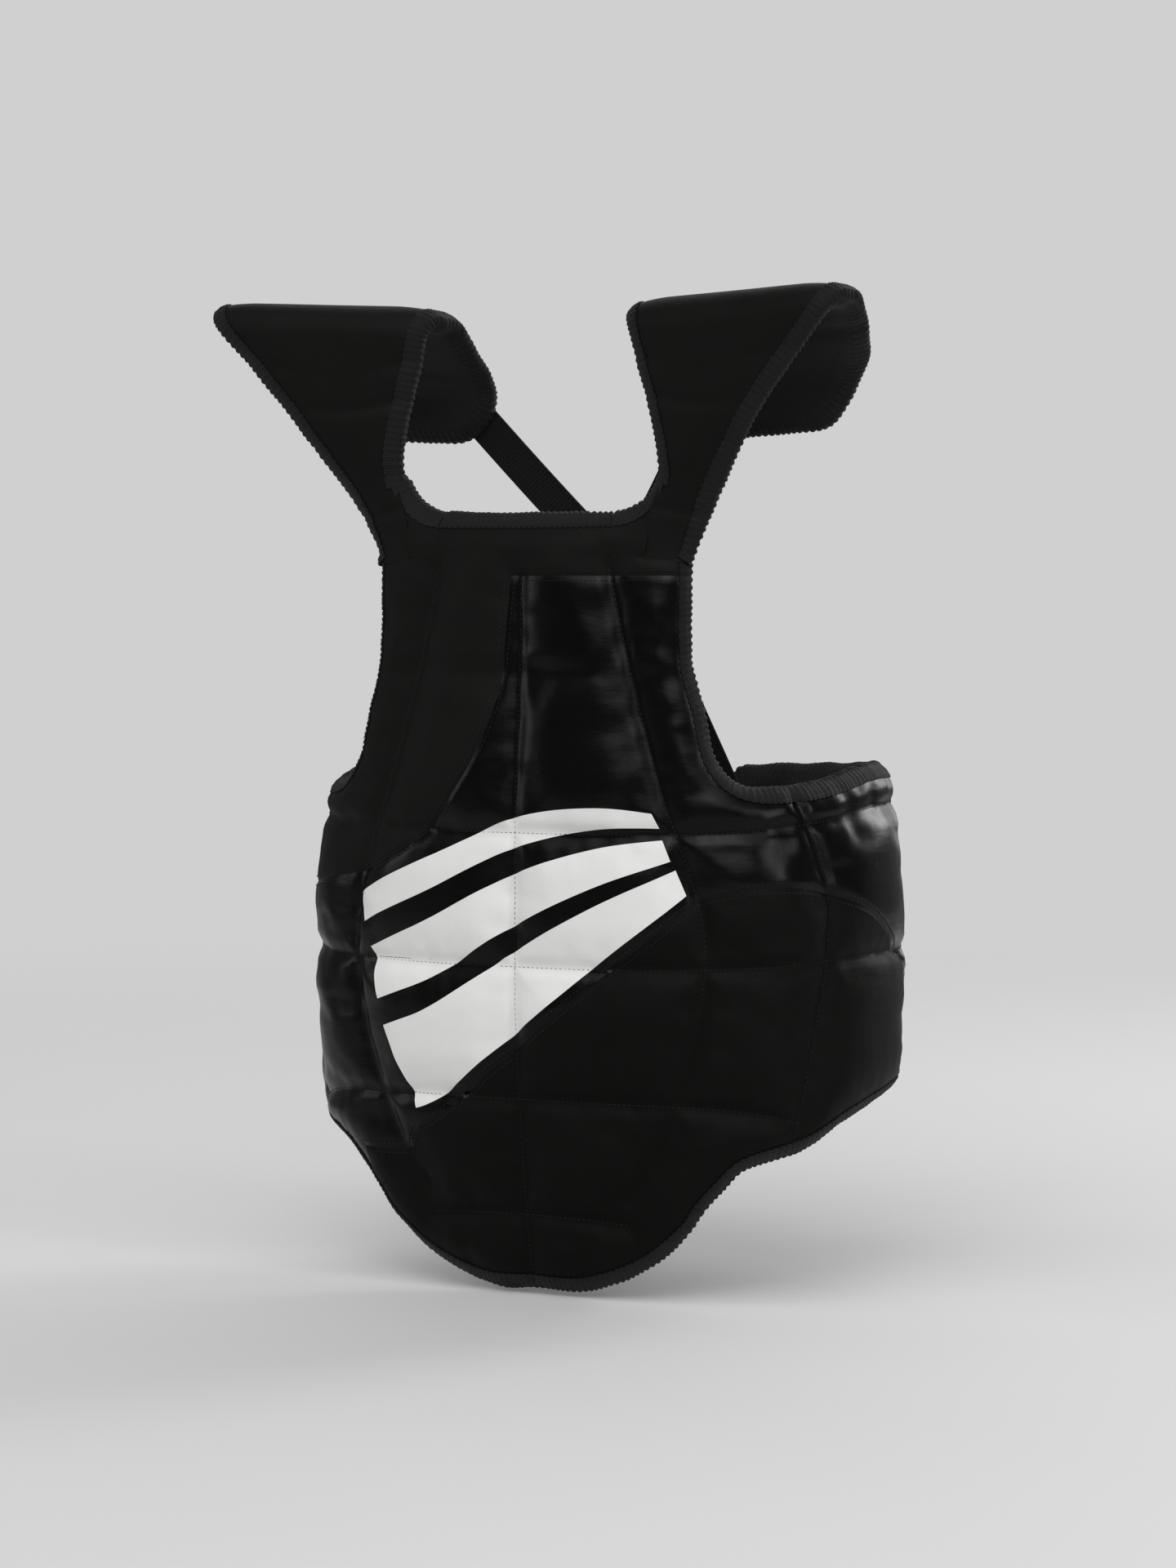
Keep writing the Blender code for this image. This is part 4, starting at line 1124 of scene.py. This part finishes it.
# ---- stitches --------------------------------------------------------------------------------------
def stitch_tree():
    """Small rounded stitches laid end to end along every line, standing on its surface."""
    tree = bpy.data.node_groups.new("sewn_stitches", "GeometryNodeTree")
    face = tree.interface
    face.new_socket("Geometry", in_out="INPUT", socket_type="NodeSocketGeometry")
    sockets = {}
    for name, value in (("Pitch", STITCH_PITCH), ("Length", 0.0025), ("Thickness", 0.0006)):
        made = face.new_socket(name, in_out="INPUT", socket_type="NodeSocketFloat")
        made.default_value = value
        sockets[name] = made.identifier
    made = face.new_socket("Thread", in_out="INPUT", socket_type="NodeSocketMaterial")
    sockets["Thread"] = made.identifier
    face.new_socket("Geometry", in_out="OUTPUT", socket_type="NodeSocketGeometry")
    nodes, links = tree.nodes, tree.links

    def add(kind, settings=None, **inputs):
        node = nodes.new(kind)
        for key, value in (settings or {}).items():
            setattr(node, key, value)
        for key, value in inputs.items():
            key = key.replace("_", " ")
            if isinstance(value, bpy.types.NodeSocket):
                links.new(value, node.inputs[key])
            else:
                node.inputs[key].default_value = value
        return node

    given = nodes.new("NodeGroupInput")
    result = nodes.new("NodeGroupOutput")
    lines = add("GeometryNodeMeshToCurve", Mesh=given.outputs["Geometry"])
    spaced = add("GeometryNodeResampleCurve", {"mode": "LENGTH"}, Curve=lines.outputs[0],
                 Length=given.outputs["Pitch"])
    out = add("GeometryNodeInputNamedAttribute", {"data_type": "FLOAT_VECTOR"}, Name="out")
    tangent = nodes.new("GeometryNodeInputTangent")
    first = add("FunctionNodeAlignRotationToVector", {"axis": "X"}, Vector=tangent.outputs[0])
    turned = add("FunctionNodeAlignRotationToVector", {"axis": "Z", "pivot_axis": "X"},
                 Rotation=first.outputs[0], Vector=out.outputs[0])
    bead = add("GeometryNodeMeshUVSphere", Segments=6, Rings=4, Radius=0.5)
    size = add("ShaderNodeCombineXYZ", X=given.outputs["Length"], Y=given.outputs["Thickness"],
               Z=given.outputs["Thickness"])
    placed = add("GeometryNodeInstanceOnPoints", Points=spaced.outputs[0], Instance=bead.outputs[0],
                 Rotation=turned.outputs[0], Scale=size.outputs[0])
    real = add("GeometryNodeRealizeInstances", Geometry=placed.outputs[0])
    dressed = add("GeometryNodeSetMaterial", Geometry=real.outputs[0], Material=given.outputs["Thread"])
    links.new(dressed.outputs[0], result.inputs["Geometry"])
    return tree, sockets


STITCH_TREE, STITCH_INPUTS = stitch_tree()


def stitches(name, lines, thread):
    """One mesh of stitches along flat lines, each given as (line, surface, depth)."""
    points, edges, outs = [], [], []
    for line, surface, depth in lines:
        line = even_steps(line, 0.0022)
        inset = depth(line)
        here = surface(line, inset)
        above = surface(line, inset - 0.001)
        base = len(points)
        points += here.tolist()
        outs += ((above - here) / 0.001).tolist()
        edges += [(base + i, base + i + 1) for i in range(len(line) - 1)]
    mesh = bpy.data.meshes.new(name + "_lines")
    mesh.from_pydata(points, edges, [])
    attribute = mesh.attributes.new("out", "FLOAT_VECTOR", "POINT")
    attribute.data.foreach_set("vector", np.array(outs).ravel())
    guide = bpy.data.objects.new(name + "_lines", mesh)
    bpy.context.scene.collection.objects.link(guide)
    modifier = guide.modifiers.new("stitches", "NODES")
    modifier.node_group = STITCH_TREE
    modifier[STITCH_INPUTS["Pitch"]] = STITCH_PITCH
    modifier[STITCH_INPUTS["Length"]] = STITCH_PITCH * 0.74
    modifier[STITCH_INPUTS["Thickness"]] = 0.00062
    modifier[STITCH_INPUTS["Thread"]] = thread
    made = bpy.data.meshes.new_from_object(guide.evaluated_get(bpy.context.evaluated_depsgraph_get()))
    guide.modifiers.clear()
    bpy.data.objects.remove(guide)
    made.name = name
    if not made.materials:
        made.materials.append(thread)
    made.shade_smooth()
    piece = bpy.data.objects.new(name, made)
    bpy.context.scene.collection.objects.link(piece)
    return piece


def clip(line, test):
    """The longest run of the line whose points pass the test."""
    line = even_steps(line, 0.003)
    keep = test(line)
    best, run = [], []
    for point, good in zip(line, keep):
        run = run + [point] if good else []
        if len(run) > len(best):
            best = run
    return np.array(best)


def well_inside(line):
    return inside(BODY_OUTLINE, line) & (distance_to(OUTLINE, line) > 0.009)


def offset(line, amount):
    line = even_steps(line, 0.003)
    ahead = unit(np.gradient(line, axis=0))
    return line + np.stack([-ahead[:, 1], ahead[:, 0]], -1) * amount


quilt_rows, wing_rows = [], {"right": [], "left": []}
for line in QUILTING + [offset(s, d) for s in SEAMS for d in (0.0032, -0.0032)]:
    pieces_of = ((quilt_rows, lambda p: well_inside(p) & (np.abs(p[:, 0]) <= HINGE_S)),
                 (wing_rows["right"], lambda p: well_inside(p) & (p[:, 0] > HINGE_S)),
                 (wing_rows["left"], lambda p: well_inside(p) & (p[:, 0] < -HINGE_S)))
    for rows_kept, test in pieces_of:
        run = clip(line, test)
        if len(run) > 3:
            rows_kept.append((run, vest, deeper(cover_inset, -STITCH_PROUD)))


def tape_row(path, pad_side, near):
    """A row of stitches along the inner edge of a tape, and its depth."""
    inner = offset(soften(even_steps(path, 0.003), 3), -pad_side * TAPE_LEG * 0.78)
    return inner, deeper(near, -TAPE_THICK - STITCH_PROUD)


for path, sign, rows_kept in ((NECK, 1, quilt_rows), (join(apron_half, mirrored(apron_half)), 1, quilt_rows),
                              (RIGHT_EDGE[:hinge_top + 1], 1, quilt_rows),
                              (RIGHT_EDGE[:hinge_top + 1] * (-1, 1), -1, quilt_rows),
                              (RIGHT_EDGE[hinge_top:hinge_foot + 1], 1, wing_rows["right"]),
                              (RIGHT_EDGE[hinge_top:hinge_foot + 1] * (-1, 1), -1, wing_rows["left"])):
    row, depth = tape_row(path, sign, cover_inset)
    rows_kept.append((row, vest, depth))

piece = stitches("front_stitches", quilt_rows, THREAD)
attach(piece, "root")
for side in SIDES:
    piece = stitches(f"{side}_wing_stitches", wing_rows[side], THREAD)
    fold_on_wing(piece, side)
    row, depth = tape_row(FLAP_BOUND, 1, flap_cover_inset)
    piece = stitches(f"{side}_flap_stitches", [(row, FLAPS[side], depth)], THREAD)
    fold_on_flap(piece, side)


def rectangle(low, high, foot, top):
    return np.array([(low, foot), (high, foot), (high, top), (low, top), (low, foot)]) / (PER_DEGREE, 1)


def belt_flat(points, inset):
    return belt_surface(points * (PER_DEGREE, 1), inset)


def on_belt(points):
    return -belt_lift(points[:, 0] * PER_DEGREE) - BELT_DEPTH - STITCH_PROUD


belt_lines = [rectangle(206, 216.5, BELT_LOW + 0.004, BELT_HIGH - 0.004),
              rectangle(143.2, 166, BELT_LOW + 0.008, BELT_HIGH - 0.008)]
piece = stitches("belt_stitches", [(line, belt_flat, on_belt) for line in belt_lines], THREAD)
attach(piece, "back_belt")


# ---- floor, light and camera -------------------------------------------------------------------------
FLOOR_RADIUS, FLOOR_SIDES = 3.2, 64
BACKDROP, ROOM_LIGHT = 0.63, 0.18          # greys that the camera sees, and that light the piece
CAMERA_TURN, CAMERA_FAR, CAMERA_RISE, CAMERA_LENS = radians(28), 3.0, 0.137, 98.7
AIM_HEIGHT, AIM_ACROSS = 0.103, -0.01767
floor_mesh = bpy.data.meshes.new("studio_floor")
floor_z = cad_box[0][2] - 0.002
floor_turns = [2 * pi * i / FLOOR_SIDES for i in range(FLOOR_SIDES)]
floor_ring = [(FLOOR_RADIUS * cos(a), FLOOR_RADIUS * sin(a), floor_z) for a in floor_turns]
floor_mesh.from_pydata(floor_ring, [], [tuple(range(FLOOR_SIDES))])
floor = bpy.data.objects.new("studio_floor", floor_mesh)
bpy.context.scene.collection.objects.link(floor)
pale = Finish("pale_floor", Specular_IOR_Level=0.0, Roughness=1.0)
mottle = pale.noise(pale.place(), 3.0, 2.0)
far_out = pale.node("ShaderNodeVectorMath", {"operation": "LENGTH"}, {0: pale.place()}, output=1)
fade = pale.node("ShaderNodeMapRange", {"interpolation_type": "SMOOTHSTEP"},
                 {0: far_out, 1: 0.75, 2: FLOOR_RADIUS * 0.96, 3: 1.0, 4: 0.0})
pale_grey = pale.blend(mottle, (0.66, 0.66, 0.66), (0.68, 0.68, 0.68))
floor_mesh.materials.append(pale.finish(Base_Color=pale_grey, Alpha=fade))

world = bpy.data.worlds.new("studio")
bpy.context.scene.world = world
world.use_nodes = True
sky, sky_links = world.node_tree.nodes, world.node_tree.links
sky["Background"].inputs["Color"].default_value = (ROOM_LIGHT, ROOM_LIGHT, ROOM_LIGHT, 1)
backdrop = sky.new("ShaderNodeBackground")
backdrop.inputs["Color"].default_value = (BACKDROP, BACKDROP, BACKDROP, 1)
seen = sky.new("ShaderNodeLightPath")
either = sky.new("ShaderNodeMixShader")
sky_links.new(seen.outputs["Is Camera Ray"], either.inputs[0])
sky_links.new(sky["Background"].outputs[0], either.inputs[1])
sky_links.new(backdrop.outputs[0], either.inputs[2])
sky_links.new(either.outputs[0], sky["World Output"].inputs["Surface"])
bpy.context.scene.view_settings.view_transform = "Standard"


def hang(name, light, place, aim):
    lit = bpy.data.objects.new(name, light)
    lit.location = place
    lit.rotation_euler = (Vector(aim) - Vector(place)).to_track_quat("-Z", "Y").to_euler()
    bpy.context.scene.collection.objects.link(lit)


def lamp(name, place, aim, size, energy):
    light = bpy.data.lights.new(name, "AREA")
    light.shape, light.energy = "RECTANGLE", energy
    light.size, light.size_y = size
    hang(name, light, place, aim)


def daylight(name, place, strength, angle):
    light = bpy.data.lights.new(name, "SUN")
    light.energy, light.angle = strength, radians(angle)
    hang(name, light, place, (0, 0, 0))


daylight("soft_front_light", (0.5, -1.7, 1.8), 1.65, 70)
daylight("soft_back_light", (-0.4, 1.9, 1.3), 1.0, 70)
lamp("key_softbox", (0.9, -2.4, 1.9), (0, 0, 0.1), (1.2, 1.2), 12)
lamp("right_strip", (2.3, -0.7, 0.7), (0.1, 0, 0.05), (0.4, 1.6), 12)
lamp("left_fill", (-2.4, -1.4, 0.9), (0, 0, 0.1), (0.6, 1.6), 8)
lamp("rear_strip", (1.2, 2.4, 1.2), (0, 0, 0.1), (0.8, 1.4), 26)

camera_data = bpy.data.cameras.new("camera")
camera_data.sensor_fit = "VERTICAL"
camera_data.sensor_height = 36.0
camera_data.lens = CAMERA_LENS
camera_data.clip_end = 60
camera = bpy.data.objects.new("camera", camera_data)
look = Vector((-sin(CAMERA_TURN), cos(CAMERA_TURN), 0))
right_way = Vector((cos(CAMERA_TURN), sin(CAMERA_TURN), 0))
aim = Vector((0, 0, AIM_HEIGHT)) + right_way * AIM_ACROSS
eye = aim - look * CAMERA_FAR + Vector((0, 0, CAMERA_RISE))
camera.location = eye
camera.rotation_euler = (aim - eye).to_track_quat("-Z", "Y").to_euler()
bpy.context.scene.collection.objects.link(camera)
bpy.context.scene.camera = camera
